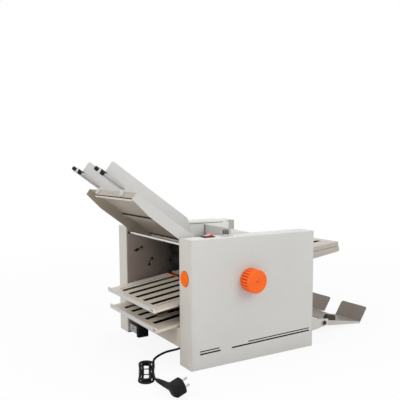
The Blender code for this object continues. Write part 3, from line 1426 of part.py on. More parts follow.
def end_stop(name, guide_y):
    """The clamp on a guide rod that the paper's tail end meets."""
    y = guide_y - GUIDE_ROD_OFFSET
    outer = guide_rod_point(GUIDE_ROD_TIP_X, y) + TRAY_DOWN * STOP_PLACE
    end = STOP_LENGTH + STOP_SLEEVE_LENGTH
    bore = GUIDE_ROD_RADIUS + GAP
    profile = [
        (bore / math.cos(math.pi / 16), 0),
        (STOP_RADIUS, 0),
        (STOP_RADIUS, -STOP_LENGTH),
        (STOP_SLEEVE_RADIUS, -STOP_LENGTH),
        (STOP_SLEEVE_RADIUS, -end),
        (bore / math.cos(math.pi / 16), -end),
        (bore / math.cos(math.pi / 16), 0),
    ]
    stop = turned(name, profile, outer, -TRAY_DOWN, 16)
    start = STOP_LENGTH / 2
    middle = outer + TRAY_UP * (STOP_RADIUS - STOP_TONGUE_THICKNESS / 2)
    tongue = bpy.data.meshes.new(name + "_tongue")
    bm = bmesh.new()
    bmesh.ops.create_cube(bm, size=1)
    length = STOP_TONGUE_LENGTH - start
    bmesh.ops.scale(bm, vec=(length, STOP_TONGUE_WIDTH, STOP_TONGUE_THICKNESS), verts=bm.verts)
    bm.to_mesh(tongue)
    bm.free()
    bar = place(name + "_bar", tongue)
    bar.location = middle + TRAY_DOWN * (start + length / 2)
    bar.rotation_euler = (0, TRAY_ANGLE, 0)
    joined(stop, bar)
    return finished(stop, BLACK_PLASTIC)


def feed_head():
    """The hood over the feed roller and the sloping top cover that it stands on."""
    seat_places = (HOOD_RIGHT_X - HOOD_WALL, TOP_COVER_BREAK[0], HOOD_STEP_X + HOOD_WALL)
    seat = [(x, top_cover_height(x) + GAP * 2) for x in seat_places]
    outline = [
        (HOOD_LEFT_X, HOOD_TOP_Z),
        (HOOD_CHEEK_X, HOOD_CHEEK_Z),
        (HOOD_STEP_X, HOOD_CHEEK_Z),
        (HOOD_STEP_X, seat[-1][1]),
        seat[1],
        seat[0],
        (HOOD_RIGHT_X, HOOD_TOP_Z),
    ]
    outline = rounded(outline, (0, 0, 0, 0, 0, 0, HOOD_SHOULDER))
    hood = upright(outline, -HOOD_HALF_WIDTH, HOOD_HALF_WIDTH, "feed_head_cover")
    low_z = HOOD_CHEEK_Z - OVERRUN
    inner = [
        (HOOD_LEFT_X - 2 * OVERRUN, HOOD_TOP_Z - HOOD_WALL),
        (HOOD_LEFT_X - 2 * OVERRUN, low_z),
        (HOOD_RIGHT_X - 2 * HOOD_WALL, low_z),
        (HOOD_RIGHT_X - HOOD_WALL, HOOD_TOP_Z - HOOD_WALL),
    ]
    inner = rounded(inner, (0, 0, 0, HOOD_SHOULDER - HOOD_WALL))
    width = HOOD_HALF_WIDTH - HOOD_WALL
    cut(hood, upright(inner, -width, width, "hood_hollow"))
    finished(hood, PAINT)
    points = [TOP_COVER_LEFT, TOP_COVER_BREAK, TOP_COVER_MIDDLE, TOP_COVER_RIGHT]
    lip = (TOP_COVER_LEFT[0], TOP_COVER_LEFT[1] - TOP_COVER_LIP)
    cover = upright(bent_sheet([lip] + points, SHEET), -BETWEEN_FRAMES, BETWEEN_FRAMES, "top_cover")
    inner_x = TOP_COVER_LEFT[0] + SHEET / 2
    edge = [(inner_x, top_cover_height(inner_x))] + points[1:]
    flange = edge + [(x, z - TOP_COVER_FLANGE) for x, z in edge[::-1]]
    for label, low in (("near", -BETWEEN_FRAMES), ("far", BETWEEN_FRAMES - SHEET)):
        joined(cover, upright(flange, low, low + SHEET, f"top_cover_{label}_flange"))
    return finished(cover, PAINT)


def paper_guides():
    """The bent sheets that lead the paper in and out of the rollers."""
    span_x = KNOB_AXIS_X - FEED_AXIS_X
    span_z = FEED_AXIS_Z - KNOB_AXIS_Z
    points = [(FEED_AXIS_X + span_x * x, FEED_AXIS_Z - span_z * z) for x, z in INFEED_GUIDE_SHARES]
    outline = bent_sheet(points, GUIDE_SHEET)
    finished(upright(outline, -BETWEEN_FRAMES, BETWEEN_FRAMES, "infeed_guide"), STEEL)
    sixth_x, sixth_z = roller_centre("sixth")
    points = [(sixth_x + (RIGHT_X - sixth_x) * x, sixth_z * z) for x, z in EXIT_CHUTE_SHARES]
    outline = bent_sheet(points, GUIDE_SHEET)
    finished(upright(outline, -BETWEEN_FRAMES, BETWEEN_FRAMES, "exit_chute"), STEEL)


# Fold plates and their stops


def local_box(name, low, high, matrix):
    """A block drawn in a fold plate's own frame."""
    obj = box(name, low, high)
    obj.matrix_world = matrix @ Matrix.Translation((Vector(low) + Vector(high)) / 2)
    return obj


def flange_outline(label, matrix, start, end):
    """Outline of a right plate's side flange: the upper one hangs down, the lower one rises to meet it."""
    inset = GAP / 2
    if label == "upper_right":
        corners = ((start, -inset), (end, -inset), (end, inset - UPPER_RIGHT_FLANGE), (start, inset - UPPER_RIGHT_FLANGE))
        return [tuple((matrix @ Vector((x, 0, z))).xz) for x, z in corners]
    low = [(matrix @ Vector((x, 0, inset - PLATE_DEPTH))).xz for x in (start, end)]
    slope = math.tan(UPPER_RIGHT_TILT)
    drop = UPPER_RIGHT_FLANGE / math.cos(UPPER_RIGHT_TILT) + FLANGE_OVERLAP_GAP
    outline = [tuple(point) for point in low]
    for point in low[::-1]:
        ceiling = UPPER_RIGHT_MOUTH[1] + slope * (point.x - UPPER_RIGHT_MOUTH[0]) - drop
        outline.append((point.x, ceiling))
    return outline


def fold_plate(label):
    """A fold plate: a flat sleeve with five slots, a lip at its end and side flanges."""
    mouth, tilt, leftwards, length, slot_start, _ = FOLD_PLATES[label]
    matrix = plate_matrix(mouth, tilt, leftwards)
    half = PLATE_HALF_WIDTH
    name = label + "_fold_plate"
    body_end = length - PLATE_LIP / 2
    plate = local_box(name, (0, -half, -PLATE_DEPTH), (body_end, half, 0), matrix)
    wall = half - PLATE_SIDE_WALL
    gap_low = (-OVERRUN, -wall, -PLATE_DEPTH + PLATE_SHEET)
    gap_high = (length - PLATE_LIP - SHEET, wall, -PLATE_SHEET)
    slot_end = length - PLATE_SLOT_MARGIN
    inset = GAP / 2
    lip_high = PLATE_LIP_RISE
    lip_low = -PLATE_DEPTH + inset
    if label == "upper_right":
        lip_high = -inset
        lip_low = -UPPER_RIGHT_FLANGE
    if label == "lower_right":
        lip_high = LOWER_RIGHT_LIP_RISE
    edge = half - inset
    lip = local_box(name + "_lip", (length - PLATE_LIP, -edge, lip_low), (length, edge, lip_high), matrix)
    joined(plate, lip)
    if not leftwards:
        flange = flange_outline(label, matrix, length / 2, body_end - inset)
        edge -= inset
        for side in (-1, 1):
            y_low, y_high = sorted((side * edge, side * (edge - PLATE_SIDE_WALL + inset)))
            joined(plate, upright(flange, y_low, y_high, f"{name}_flange_{side}"))
    cut(plate, local_box(name + "_gap", gap_low, gap_high, matrix))
    for row, y in enumerate(slot_rows()):
        low = (slot_start, y - PLATE_SLOT_WIDTH / 2, -PLATE_DEPTH - OVERRUN)
        high = (slot_end, y + PLATE_SLOT_WIDTH / 2, OVERRUN)
        cut(plate, local_box(f"{name}_slot_{row}", low, high, matrix))
    return finished(plate, PLATE_PAINT)


def fold_stop(label):
    """The stop in a fold plate: a comb in the paper gap, joined through the slots to a bar on top."""
    mouth, tilt, leftwards, _, _, along = FOLD_PLATES[label]
    matrix = plate_matrix(mouth, tilt, leftwards)
    low = -PLATE_DEPTH + PLATE_SHEET + GAP
    high = GAP + STOP_BAR_HEIGHT
    half = STOP_BAR_HALF_WIDTH
    reach = STOP_BAR_LENGTH / 2
    name = label + "_stop"
    stop = box(name, (-reach, -half, low), (reach, half, high))
    edges = [-half - OVERRUN]
    for y in slot_rows():
        edges += [y - STOP_FINGER_WIDTH / 2, y + STOP_FINGER_WIDTH / 2]
    edges.append(half + OVERRUN)
    windows = []
    for start, end in zip(edges[::2], edges[1::2]):
        windows.append(((-reach - OVERRUN, start, -PLATE_SHEET - GAP), (reach + OVERRUN, end, GAP)))
    opening = boxes(name + "_windows", windows)
    here = matrix @ Matrix.Translation((along, 0, 0))
    stop.matrix_world = here @ Matrix.Translation(stop.location)
    opening.matrix_world = here
    cut(stop, opening)
    knob_y = half - STOP_KNOB_RADIUS
    if leftwards:
        knob_y = -knob_y
    base = matrix @ Vector((along, knob_y, high - STOP_BAR_HEIGHT / 2))
    tip = matrix @ Vector((along, knob_y, high + STOP_KNOB_HEIGHT))
    joined(stop, cylinders(name + "_knob", [(base, tip, STOP_KNOB_RADIUS)], SMALL_SIDES))
    return finished(stop, STEEL)


# Delivery end


def delivery_top(x):
    """Height of the delivery tray's upper face."""
    return DELIVERY_TOP_AT_AXIS - math.tan(DELIVERY_TILT) * (x - TRAY_AXIS_X)


def tab_corner(y, top, side):
    """What is cut from a tab's upper corner to round it; the corner points to the given side in Y."""
    radius = DELIVERY_TAB_CORNER
    centre = (y - side * radius, top - radius)
    arc = []
    for step in range(5):
        angle = math.pi / 2 * step / 4
        arc.append((centre[0] + side * radius * math.sin(angle), centre[1] + radius * math.cos(angle)))
    outer = y + side * OVERRUN
    return arc + [(outer, centre[1]), (outer, top + OVERRUN), (centre[0], top + OVERRUN)]


def delivery_tray():
    """The tray that the folded sheets land on: base, side flanges, ears and two upturned tabs."""
    start = DELIVERY_START_X
    end = DELIVERY_END_X
    corner = (end, delivery_top(end))
    tab_top = (end + DELIVERY_TAB_RUN, corner[1] + DELIVERY_TAB_RISE)
    sheet = bent_sheet([(start, delivery_top(start)), corner, tab_top], SHEET)
    anchor = (TRAY_AXIS_X, TRAY_AXIS_Z)
    half = DELIVERY_HALF_WIDTH
    tucked = half - SHEET / 2
    tray = upright(sheet, -tucked, tucked, "delivery_tray", anchor)
    rim = SHEET / 4
    wall_start = start + SHEET
    wall_end = end - SHEET
    wall = [
        (wall_start, delivery_top(wall_start) + rim),
        (TRAY_AXIS_X - DELIVERY_EAR_RADIUS, TRAY_AXIS_Z + DELIVERY_EAR_RADIUS / 2),
        (TRAY_AXIS_X - DELIVERY_EAR_RADIUS, TRAY_AXIS_Z - DELIVERY_EAR_RADIUS / 2),
        (TRAY_AXIS_X, TRAY_AXIS_Z - DELIVERY_EAR_RADIUS),
        (TRAY_AXIS_X + DELIVERY_FLANGE_FOOT, DELIVERY_FLANGE_LOW),
        (wall_end, DELIVERY_FLANGE_END),
        (wall_end, delivery_top(wall_end) + rim),
    ]
    for label, low in (("near", -half), ("far", half - SHEET)):
        joined(tray, upright(wall, low, low + SHEET, f"delivery_{label}_wall", anchor))
    gap = DELIVERY_NOTCH_HALF
    notch_start = (end - DELIVERY_NOTCH_DEPTH, 0)
    reach = tab_top[0] + OVERRUN
    notch = [
        (notch_start[0], -gap),
        (reach, -gap),
        (reach, gap),
        (notch_start[0], gap),
    ]
    cut(tray, flat("delivery_notch", [notch], -OVERRUN, tab_top[1] + OVERRUN, "XY"))
    corners = [tab_corner(y, tab_top[1], side) for y, side in ((half, 1), (gap, -1), (-gap, 1), (-half, -1))]
    cut(tray, flat("tab_corners", corners, end + SHEET, reach, "YZ"))
    hole_start = (TRAY_AXIS_X, -half - OVERRUN, TRAY_AXIS_Z)
    hole_end = (TRAY_AXIS_X, half + OVERRUN, TRAY_AXIS_Z)
    cut(tray, cylinders("ear_bores", [(hole_start, hole_end, bore_radius(PIVOT_RADIUS, SMALL_SIDES))], SMALL_SIDES))
    return finished(tray, DELIVERY_PAINT)


def delivery_bracket():
    """The channel on the right end that carries the delivery tray, and the rod it turns on."""
    half = BRACKET_HALF_WIDTH
    start = RIGHT_X - BRACKET_INSET
    tucked = half - SHEET / 2
    floor_start = start + SHEET / 2
    ends = [(x, delivery_top(x)) for x in (floor_start, BRACKET_FLOOR_END_X)]
    bracket = upright(bent_sheet(ends, SHEET), -tucked, tucked, "delivery_bracket")
    cheek = [
        (start, BRACKET_LOW_START),
        (BRACKET_LOW_X, BRACKET_LOW_START),
        (BRACKET_END_X, TRAY_AXIS_Z - BRACKET_CORNER),
        (BRACKET_END_X, BRACKET_END_Z),
        (start, BRACKET_TOP_START + SHEET * 2),
    ]
    cheek = rounded(cheek, (0, BRACKET_CORNER, BRACKET_CORNER, SHEET, 0))
    for label, low in (("near", -half), ("far", half - SHEET)):
        joined(bracket, upright(cheek, low, low + SHEET, f"bracket_{label}_cheek"))
    low = (start + GAP, -BETWEEN_FRAMES, BRACKET_LOW_START + GAP)
    high = (start + GAP + SHEET, BETWEEN_FRAMES, BRACKET_TOP_START)
    joined(bracket, box("bracket_back", low, high))
    hole_start = (TRAY_AXIS_X, -half - OVERRUN, TRAY_AXIS_Z)
    hole_end = (TRAY_AXIS_X, half + OVERRUN, TRAY_AXIS_Z)
    cut(bracket, cylinders("cheek_bores", [(hole_start, hole_end, bore_radius(PIVOT_RADIUS, SMALL_SIDES))], SMALL_SIDES))
    finished(bracket, PAINT)
    outer = half + GAP
    profile = [
        (0, outer + PIVOT_HEAD),
        (PIVOT_HEAD_RADIUS, outer + PIVOT_HEAD),
        (PIVOT_HEAD_RADIUS, outer),
        (PIVOT_RADIUS, outer),
        (PIVOT_RADIUS, -outer),
        (PIVOT_HEAD_RADIUS, -outer),
        (PIVOT_HEAD_RADIUS, -outer - PIVOT_HEAD),
        (0, -outer - PIVOT_HEAD),
    ]
    rod = turned("tray_pivot_rod", profile, (TRAY_AXIS_X, 0, TRAY_AXIS_Z), TOWARD_OPERATOR, SMALL_SIDES)
    return finished(rod, STEEL)


def sheet_stop():
    """The small angle block on the delivery tray that catches the first sheet."""
    x = SHEET_STOP_X
    half = SHEET_STOP_LENGTH / 2
    lift = GAP / math.cos(DELIVERY_TILT)
    outline = [
        (x - half, delivery_top(x - half) + lift),
        (x + half, delivery_top(x + half) + lift),
        (x + half, delivery_top(x + half) + SHEET_STOP_HEIGHT),
        (x - half + SHEET_STOP_HEIGHT / 2, delivery_top(x - half) + SHEET_STOP_HEIGHT),
        (x - half, delivery_top(x - half) + SHEET_STOP_HEIGHT / 2),
    ]
    low = SHEET_STOP_Y - SHEET_STOP_WIDTH / 2
    stop = upright(outline, low, low + SHEET_STOP_WIDTH, "delivery_stop")
    return finished(stop, BLACK_PLASTIC)


# Foot


def foot():
    """The rubber foot block at the left end and the bracket that holds it."""
    x, y = FOOT_LOW
    outline = [(x, y), (x + FOOT_LENGTH, y), (x + FOOT_LENGTH, y + FOOT_WIDTH), (x, y + FOOT_WIDTH)]
    outline = rounded(outline, (FOOT_CORNER,) * 4, 3)
    finished(flat("support_foot", [outline], 0, FOOT_HEIGHT, "XY"), BLACK_RUBBER)
    sheet = FOOT_BRACKET_SHEET
    front = FOOT_BRACKET_X
    foot_side = y + FOOT_WIDTH + GAP
    plate = [
        (front, BETWEEN_FRAMES),
        (front, foot_side),
        (front + FOOT_BRACKET_FLANGE, foot_side),
    ]
    outline = bent_sheet(plate, -sheet)
    bracket = flat("foot_bracket", [outline], FOOT_BRACKET_LOW_Z, FOOT_BRACKET_HIGH_Z, "XY")
    return finished(bracket, PAINT)


# Mains lead


def smooth_route(points, count):
    """Points at even steps along a smooth curve through a route's points; its two ends stay straight."""
    padded = [Vector(point) for point in points]
    dense = []
    fine = 40
    for index in range(1, len(padded) - 2):
        before, start, end, after = padded[index - 1:index + 3]
        for step in range(fine):
            t = step / fine
            dense.append(
                (start * 2 + (end - before) * t + (before * 2 - start * 5 + end * 4 - after) * t ** 2
                 + (start * 3 - before - end * 3 + after) * t ** 3) / 2
            )
    dense.append(padded[-2])
    travelled = [0.0]
    for start, end in zip(dense, dense[1:]):
        travelled.append(travelled[-1] + (end - start).length)
    even = []
    cursor = 0
    for step in range(count):
        goal = travelled[-1] * step / (count - 1)
        while cursor < len(travelled) - 2 and travelled[cursor + 1] < goal:
            cursor += 1
        span = travelled[cursor + 1] - travelled[cursor]
        even.append(dense[cursor].lerp(dense[cursor + 1], (goal - travelled[cursor]) / span))
    return [padded[0]] + even + [padded[-1]]


def tube(name, points, radius, resolution):
    """A round tube along points, as a curve."""
    curve = bpy.data.curves.new(name, "CURVE")
    curve.dimensions = "3D"
    curve.bevel_depth = radius
    curve.bevel_resolution = resolution
    curve.use_fill_caps = True
    spline = curve.splines.new("POLY")
    spline.points.add(len(points) - 1)
    for target, point in zip(spline.points, points):
        target.co = (*point, 1)
    obj = bpy.data.objects.new(name, curve)
    PARTS.objects.link(obj)
    bpy.context.view_layer.update()
    return obj


def hank_frame():
    """The hank's start, its direction along the runs, and the direction across them."""
    along = Vector((math.cos(HANK_HEADING), math.sin(HANK_HEADING), 0))
    across = Vector((-along.y, along.x, 0)) * -1
    return Vector((*HANK_START, 0)), along, across


def hank_points():
    """The hank's centre line: loops that spiral in, climb along a run and spiral out on top."""
    start, along, across = hank_frame()
    middle = start + along * HANK_RUN / 2 + across * HANK_OUTER
    loop_steps = 2 * (RUN_STEPS + ARC_STEPS)
    climb_start = round(HANK_TURNS * loop_steps)
    climb_end = climb_start + RUN_STEPS
    last = climb_start * 2 + RUN_STEPS
    inner = HANK_OUTER - HANK_STEP * HANK_TURNS
    points = []
    for step in range(last + 1):
        if step <= climb_start:
            reach = HANK_OUTER - HANK_STEP * step / loop_steps
        else:
            reach = inner + HANK_STEP * max(step - climb_end, 0) / loop_steps
        climb = min(max((step - climb_start) / RUN_STEPS, 0), 1)
        height = HANK_LOW_Z + (HANK_HIGH_Z - HANK_LOW_Z) * climb
        place_in_loop = step % loop_steps
        far_side = place_in_loop >= RUN_STEPS + ARC_STEPS
        in_half = place_in_loop - (RUN_STEPS + ARC_STEPS) * far_side
        sign = -1 if far_side else 1
        if in_half <= RUN_STEPS:
            share = in_half / RUN_STEPS
            u = sign * HANK_RUN * (share - 0.5)
            waist = 1 - HANK_WAIST_SHARE * math.sin(math.pi * share) ** 2
            v = -sign * reach * waist
        else:
            angle = math.pi * (in_half - RUN_STEPS) / ARC_STEPS
            u = sign * (HANK_RUN / 2 + reach * math.sin(angle))
            v = -sign * reach * math.cos(angle)
        points.append(middle + along * u + across * v + UPWARDS * height)
    return points + exit_bend(points)


def exit_bend(points):
    """The short bend that leads from the hank's last run to the plug."""
    heading = (points[-1] - points[-2]).normalized()
    heading.z = 0
    heading.normalize()
    side = UPWARDS.cross(heading)
    bend = []
    for step in range(1, 5):
        angle = HANK_EXIT_TURN * step / 4
        bend.append(points[-1] + heading * HANK_EXIT_RADIUS * math.sin(angle) + side * HANK_EXIT_RADIUS * (1 - math.cos(angle)))
    last = (heading * math.cos(HANK_EXIT_TURN) + side * math.sin(HANK_EXIT_TURN)).normalized()
    bend.append(bend[-1] + last * 2 * CORD_RADIUS)
    return bend


def least_self_gap(points):
    """The least gap between two stretches of a tube that aren't neighbours, on fine points."""
    fine = []
    for start, end in zip(points, points[1:]):
        fine += [start.lerp(end, share / 6) for share in range(6)]
    apart = 8 * CORD_RADIUS
    travelled = [0.0]
    for start, end in zip(fine, fine[1:]):
        travelled.append(travelled[-1] + (end - start).length)
    least = 1.0
    for index, point in enumerate(fine):
        for other in range(index + 1, len(fine)):
            if travelled[other] - travelled[index] > apart:
                least = min(least, (fine[other] - point).length)
    return least - 2 * CORD_RADIUS


def mains_lead():
    """The gland, the lead, the hank with its tie, and the plug."""
    front = BAY_HALF - GAP
    profile = [
        (0, GLAND_LENGTH),
        (GLAND_TIP_RADIUS, GLAND_LENGTH),
        (GLAND_NECK_RADIUS, GLAND_NUT_LENGTH),
        (GLAND_NUT_RADIUS, GLAND_NUT_LENGTH),
        (GLAND_NUT_RADIUS, 0),
        (GLAND_SPIGOT_RADIUS, 0),
        (GLAND_SPIGOT_RADIUS, -FRAME_THICKNESS - GAP),
        (0, -FRAME_THICKNESS - GAP),
    ]
    gland = turned("cord_gland", profile, (GLAND_X, -front, GLAND_Z), -TOWARD_OPERATOR)
    smooth(finished(gland, BLACK_RUBBER))
    lead = meshed(tube("cord_lead", smooth_route(LEAD_ROUTE, LEAD_POINTS), CORD_RADIUS, CORD_SIDES_RESOLUTION))
    smooth(finished(lead, BLACK_RUBBER))
    points = hank_points()
    print("hank: least gap to itself, mm:", round(least_self_gap(points) * 1000, 3))
    length = sum((b - a).length for a, b in zip(points, points[1:]))
    print("hank length, m:", round(length, 3))
    hank = meshed(tube("cord_hank", points, CORD_RADIUS, 1))
    smooth(finished(hank, BLACK_RUBBER))
    cord_tie()
    plug(points)


def cord_tie():
    """The strap round the hank's waist."""
    start, along, across = hank_frame()
    middle = start + along * HANK_RUN / 2 + across * HANK_OUTER
    loop_steps = 2 * (RUN_STEPS + ARC_STEPS)
    drawn_in = [HANK_OUTER - HANK_STEP * (RUN_STEPS / 2 + part) / loop_steps for part in (0, loop_steps / 2)]
    near, far = [reach * (1 - HANK_WAIST_SHARE) + CORD_RADIUS + GAP * 2 for reach in drawn_in]
    low = GAP
    high = HANK_HIGH_Z + CORD_RADIUS + GAP + TIE_THICKNESS
    inner_low = low + TIE_THICKNESS
    inner_high = high - TIE_THICKNESS
    bend = (high - low) / 2
    left = -near - TIE_THICKNESS
    right = far + TIE_THICKNESS
    shell = [(left, low), (right, low), (right, high), (left, high)]
    hollow = [(-near, inner_low), (far, inner_low), (far, inner_high), (-near, inner_high)]
    outer_bend = bend / 4
    outside = rounded(shell, (outer_bend,) * 4, 3)
    inside = rounded(hollow, (outer_bend - TIE_THICKNESS,) * 4, 3)
    half = TIE_WIDTH / 2
    rings = []
    for outline, shift in ((outside, -half), (outside, half), (inside, half), (inside, -half)):
        rings.append([across * u + UPWARDS * v + along * shift for u, v in outline])
    tie = loft("cord_tie", rings, looped=True)
    tie.location = middle
    return finished(tie, BLACK_PLASTIC)


def oval(centre, wide, high, half_wide, half_high, power):
    """A ring of points between an ellipse and a rectangle."""
    points = []
    for step in range(SMALL_SIDES):
        angle = math.tau * (step + 0.5) / SMALL_SIDES
        cosine = math.copysign(abs(math.cos(angle)) ** power, math.cos(angle))
        sine = math.copysign(abs(math.sin(angle)) ** power, math.sin(angle))
        points.append(centre + wide * half_wide * cosine + high * half_high * sine)
    return points


def plug(points):
    """The angled mains plug, on its rim, with one pin above the other."""
    along = (points[-1] - points[-2]).normalized()
    side = UPWARDS.cross(along)
    level_facing = Matrix.Rotation(PLUG_FACE_TURN, 3, "Z") @ side
    cosine = math.cos(PLUG_FACE_TILT)
    sine = math.sin(PLUG_FACE_TILT)
    facing = level_facing * cosine + UPWARDS * sine
    upright_axis = UPWARDS * cosine - level_facing * sine
    start = points[-1] + along * GAP
    reach_down = PLUG_HEAD_HALF[1] * cosine + (PLUG_HEAD_DEPTH / 2 - PLUG_BACK_BEVEL) * sine
    lift = UPWARDS * (PLUG_CLEARANCE + reach_down - start.z)
    neck = PLUG_BOOT_LENGTH + PLUG_NECK_LENGTH
    middle = start + along * (neck + PLUG_HEAD_HALF[0]) + lift
    boot = (
        (start, PLUG_BOOT_RADIUS, PLUG_BOOT_RADIUS, 1),
        (start + along * PLUG_BOOT_LENGTH + lift / 4, PLUG_BOOT_END, PLUG_BOOT_END, 1),
        (start + along * neck + lift * 2 / 3, *PLUG_NECK_HALF, PLUG_SOFT_POWER),
        (middle, *PLUG_ROOT_HALF, PLUG_SOFT_POWER),
    )
    body = loft("mains_plug", [oval(place, side, UPWARDS, wide, high, power) for place, wide, high, power in boot])
    wide = facing.cross(upright_axis)
    front = PLUG_HEAD_DEPTH / 2
    head = (
        (-front, PLUG_BACK_HALF),
        (-front + PLUG_BACK_BEVEL, PLUG_HEAD_HALF),
        (front - PLUG_FACE_BEVEL, PLUG_HEAD_HALF),
        (front, PLUG_FACE_HALF),
    )
    rings = [oval(middle + facing * far, wide, upright_axis, *half, PLUG_HARD_POWER) for far, half in head]
    joined(body, loft("plug_head", rings))
    rows = []
    for level in (-1, 1):
        root = middle + facing * (front - PIN_RADIUS) + upright_axis * level * PIN_SPACING
        rows.append((root, root + facing * (PIN_LENGTH + PIN_RADIUS), PIN_RADIUS))
    joined(body, cylinders("plug_pins", rows, SMALL_SIDES))
    return finished(body, BLACK_PLASTIC)


def build():
    """Build the machine, from the frames outwards."""
    frame_plate("near_frame", -1)
    frame_plate("far_frame", 1)
    covers()
    cross_members()
    gear_train()
    belt_and_motor()
    rollers()
    hand_knob()
    side_plug()
    switch()
    speed_knob()
    feed_tray()
    side_guide("near_side_guide", GUIDE_NEAR_Y)
    side_guide("far_side_guide", GUIDE_FAR_Y)
    end_stop("near_end_stop", GUIDE_NEAR_Y)
    end_stop("far_end_stop", GUIDE_FAR_Y)
    feed_head()
    paper_guides()
    for label in FOLD_PLATES:
        fold_plate(label)
        fold_stop(label)
    delivery_bracket()
    delivery_tray()
    sheet_stop()
    foot()
    mains_lead()


build()
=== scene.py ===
"""Looks of a counter-top paper folding machine: finishes, small fittings, mains lead, studio and camera.

Metres, +Z up, in the frame of the CAD model. X runs along the paper path, from the feed tray to the
delivery tray, and the operator stands at -Y.
"""
import json
import logging
import math
from contextlib import contextmanager
from dataclasses import dataclass
from enum import Enum
from typing import Callable, Iterator, Sequence

import bmesh
import bpy
from mathutils import Matrix, Vector

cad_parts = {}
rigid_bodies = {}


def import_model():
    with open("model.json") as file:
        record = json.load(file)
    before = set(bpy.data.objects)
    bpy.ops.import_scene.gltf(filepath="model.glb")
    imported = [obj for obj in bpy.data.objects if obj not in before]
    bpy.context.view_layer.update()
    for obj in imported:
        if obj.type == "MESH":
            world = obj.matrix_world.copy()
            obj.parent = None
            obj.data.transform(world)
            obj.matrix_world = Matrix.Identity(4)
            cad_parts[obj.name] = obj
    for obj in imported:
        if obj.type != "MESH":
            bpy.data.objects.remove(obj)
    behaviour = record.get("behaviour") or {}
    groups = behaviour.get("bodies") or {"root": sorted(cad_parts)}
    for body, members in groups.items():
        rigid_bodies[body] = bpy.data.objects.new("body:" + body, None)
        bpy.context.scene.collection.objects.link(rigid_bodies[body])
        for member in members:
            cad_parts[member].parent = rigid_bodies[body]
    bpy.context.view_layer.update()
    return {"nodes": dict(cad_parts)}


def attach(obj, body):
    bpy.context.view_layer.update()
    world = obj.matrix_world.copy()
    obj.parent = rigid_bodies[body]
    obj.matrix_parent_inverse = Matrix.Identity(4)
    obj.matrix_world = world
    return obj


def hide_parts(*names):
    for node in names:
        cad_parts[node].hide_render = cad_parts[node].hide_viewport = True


LOG = logging.getLogger("folding_machine")
Colour = tuple[float, float, float]
Place = tuple[float, float, float]
Span = tuple[float, float]
Rings = Sequence[tuple[float, float]]
Piece = bpy.types.Object
Socket = bpy.types.NodeSocket

# Facts of the CAD model that the sub-assemblies build on
HOUSING_TOP = 0.350
LEFT_X = -0.210
RIGHT_X = 0.210
NEAR_FACE = -0.240
BAY_HALF = 0.174
CONTROLS_Y = -0.201
TRAY_SLOPE = 0.72
TRAY_ANGLE = math.atan(TRAY_SLOPE)
TRAY_ORIGIN_Z = 0.235
TRAY_TIP_X = -0.332
PLATE_HALF = 0.1615

# Directions of the tray's slope: off it, down it, and the turn that lays a piece on it
OFF_SLOPE = Vector((math.sin(TRAY_ANGLE), 0, math.cos(TRAY_ANGLE)))
DOWN_SLOPE = Vector((math.cos(TRAY_ANGLE), 0, -math.sin(TRAY_ANGLE)))
SLOPE_TURN = Matrix.Rotation(TRAY_ANGLE, 4, "Y")

# How far a fitting sits in a face or off it, and the bevels of thin pieces
SEAT = 0.0001
FINE_BEVEL = 0.0001
HAIR_BEVEL = 0.00002

# Where a new piece starts, and settings of the modelling tools: the shares are of a piece's least size or
# a sheet's thickness, and a face is level or upright by its normal's Z
ORIGIN = Matrix.Identity(4)
SHARP_ANGLE = 35.0
MERGE = 0.000004
TOP_INSET_SHARE = 0.12
MOST_BEVEL_SHARE = 0.3
FOLD_BEVEL_SHARE = 0.25
LEVEL = 0.9
UPRIGHT = 0.1

# The Mix node's colour sockets by number, as it has several of each name, and the ends of Map Range
MIX_FIRST, MIX_SECOND, MIX_RESULT = 6, 7, 2
RANGE_ENDS = ("From Min", "From Max", "To Min", "To Max")


class Axis(Enum):
    """Directions that round pieces and screws point in."""

    TO_OPERATOR = (0, -1, 0)
    TO_BACK = (0, 1, 0)
    LEFT = (-1, 0, 0)
    RIGHT = (1, 0, 0)
    UP = (0, 0, 1)


class Element(Enum):
    """What is picked in edit mode, and the mesh's list of it."""

    FACE = "faces"
    EDGE = "edges"


def standing(place: Sequence[float], direction: Axis | Vector) -> Matrix:
    """A matrix that stands a piece on a place.

    Args:
        place: where the piece's own origin goes.
        direction: where its own +Z points.

    Returns:
        The placing matrix.
    """
    way = Vector(direction.value) if isinstance(direction, Axis) else direction
    turn = Vector((0, 0, 1)).rotation_difference(way.normalized())
    return Matrix.Translation(place) @ turn.to_matrix().to_4x4()


def spun(degrees: float, axis: str) -> Matrix:
    """A turn about the X, Y or Z axis."""
    return Matrix.Rotation(math.radians(degrees), 4, axis)


def fed(tree: bpy.types.NodeTree, target: Socket, value: object) -> None:
    """Join a socket to a node's input, or set the input to a plain value.

    Args:
        tree: the node tree.
        target: the input.
        value: another node's socket, or the plain value.
    """
    if isinstance(value, Socket):
        tree.links.new(value, target)
    else:
        target.default_value = value


def joined(
    tree: bpy.types.NodeTree, kind: str, inputs: dict[str | int, object] | None = None,
    result: str | int = 0, **settings: object,
) -> Socket | None:
    """Add a node to a tree and join it up.

    Args:
        tree: the node tree.
        kind: the node's type.
        inputs: the socket or the plain value that each input gets.
        result: the output that is wanted.
        settings: the node's own settings, such as its operation.

    Returns:
        The wanted output's socket, or None if the node has no outputs.
    """
    node = tree.nodes.new(kind)
    for label, value in settings.items():
        setattr(node, label, value)
    for label, value in (inputs or {}).items():
        fed(tree, node.inputs[label], value)
    return node.outputs[result] if node.outputs else None


@dataclass(frozen=True)
class Pattern:
    """A noise: repeats per metre, octaves, and the part of its range that shows."""

    scale: float
    detail: float
    low: float
    high: float


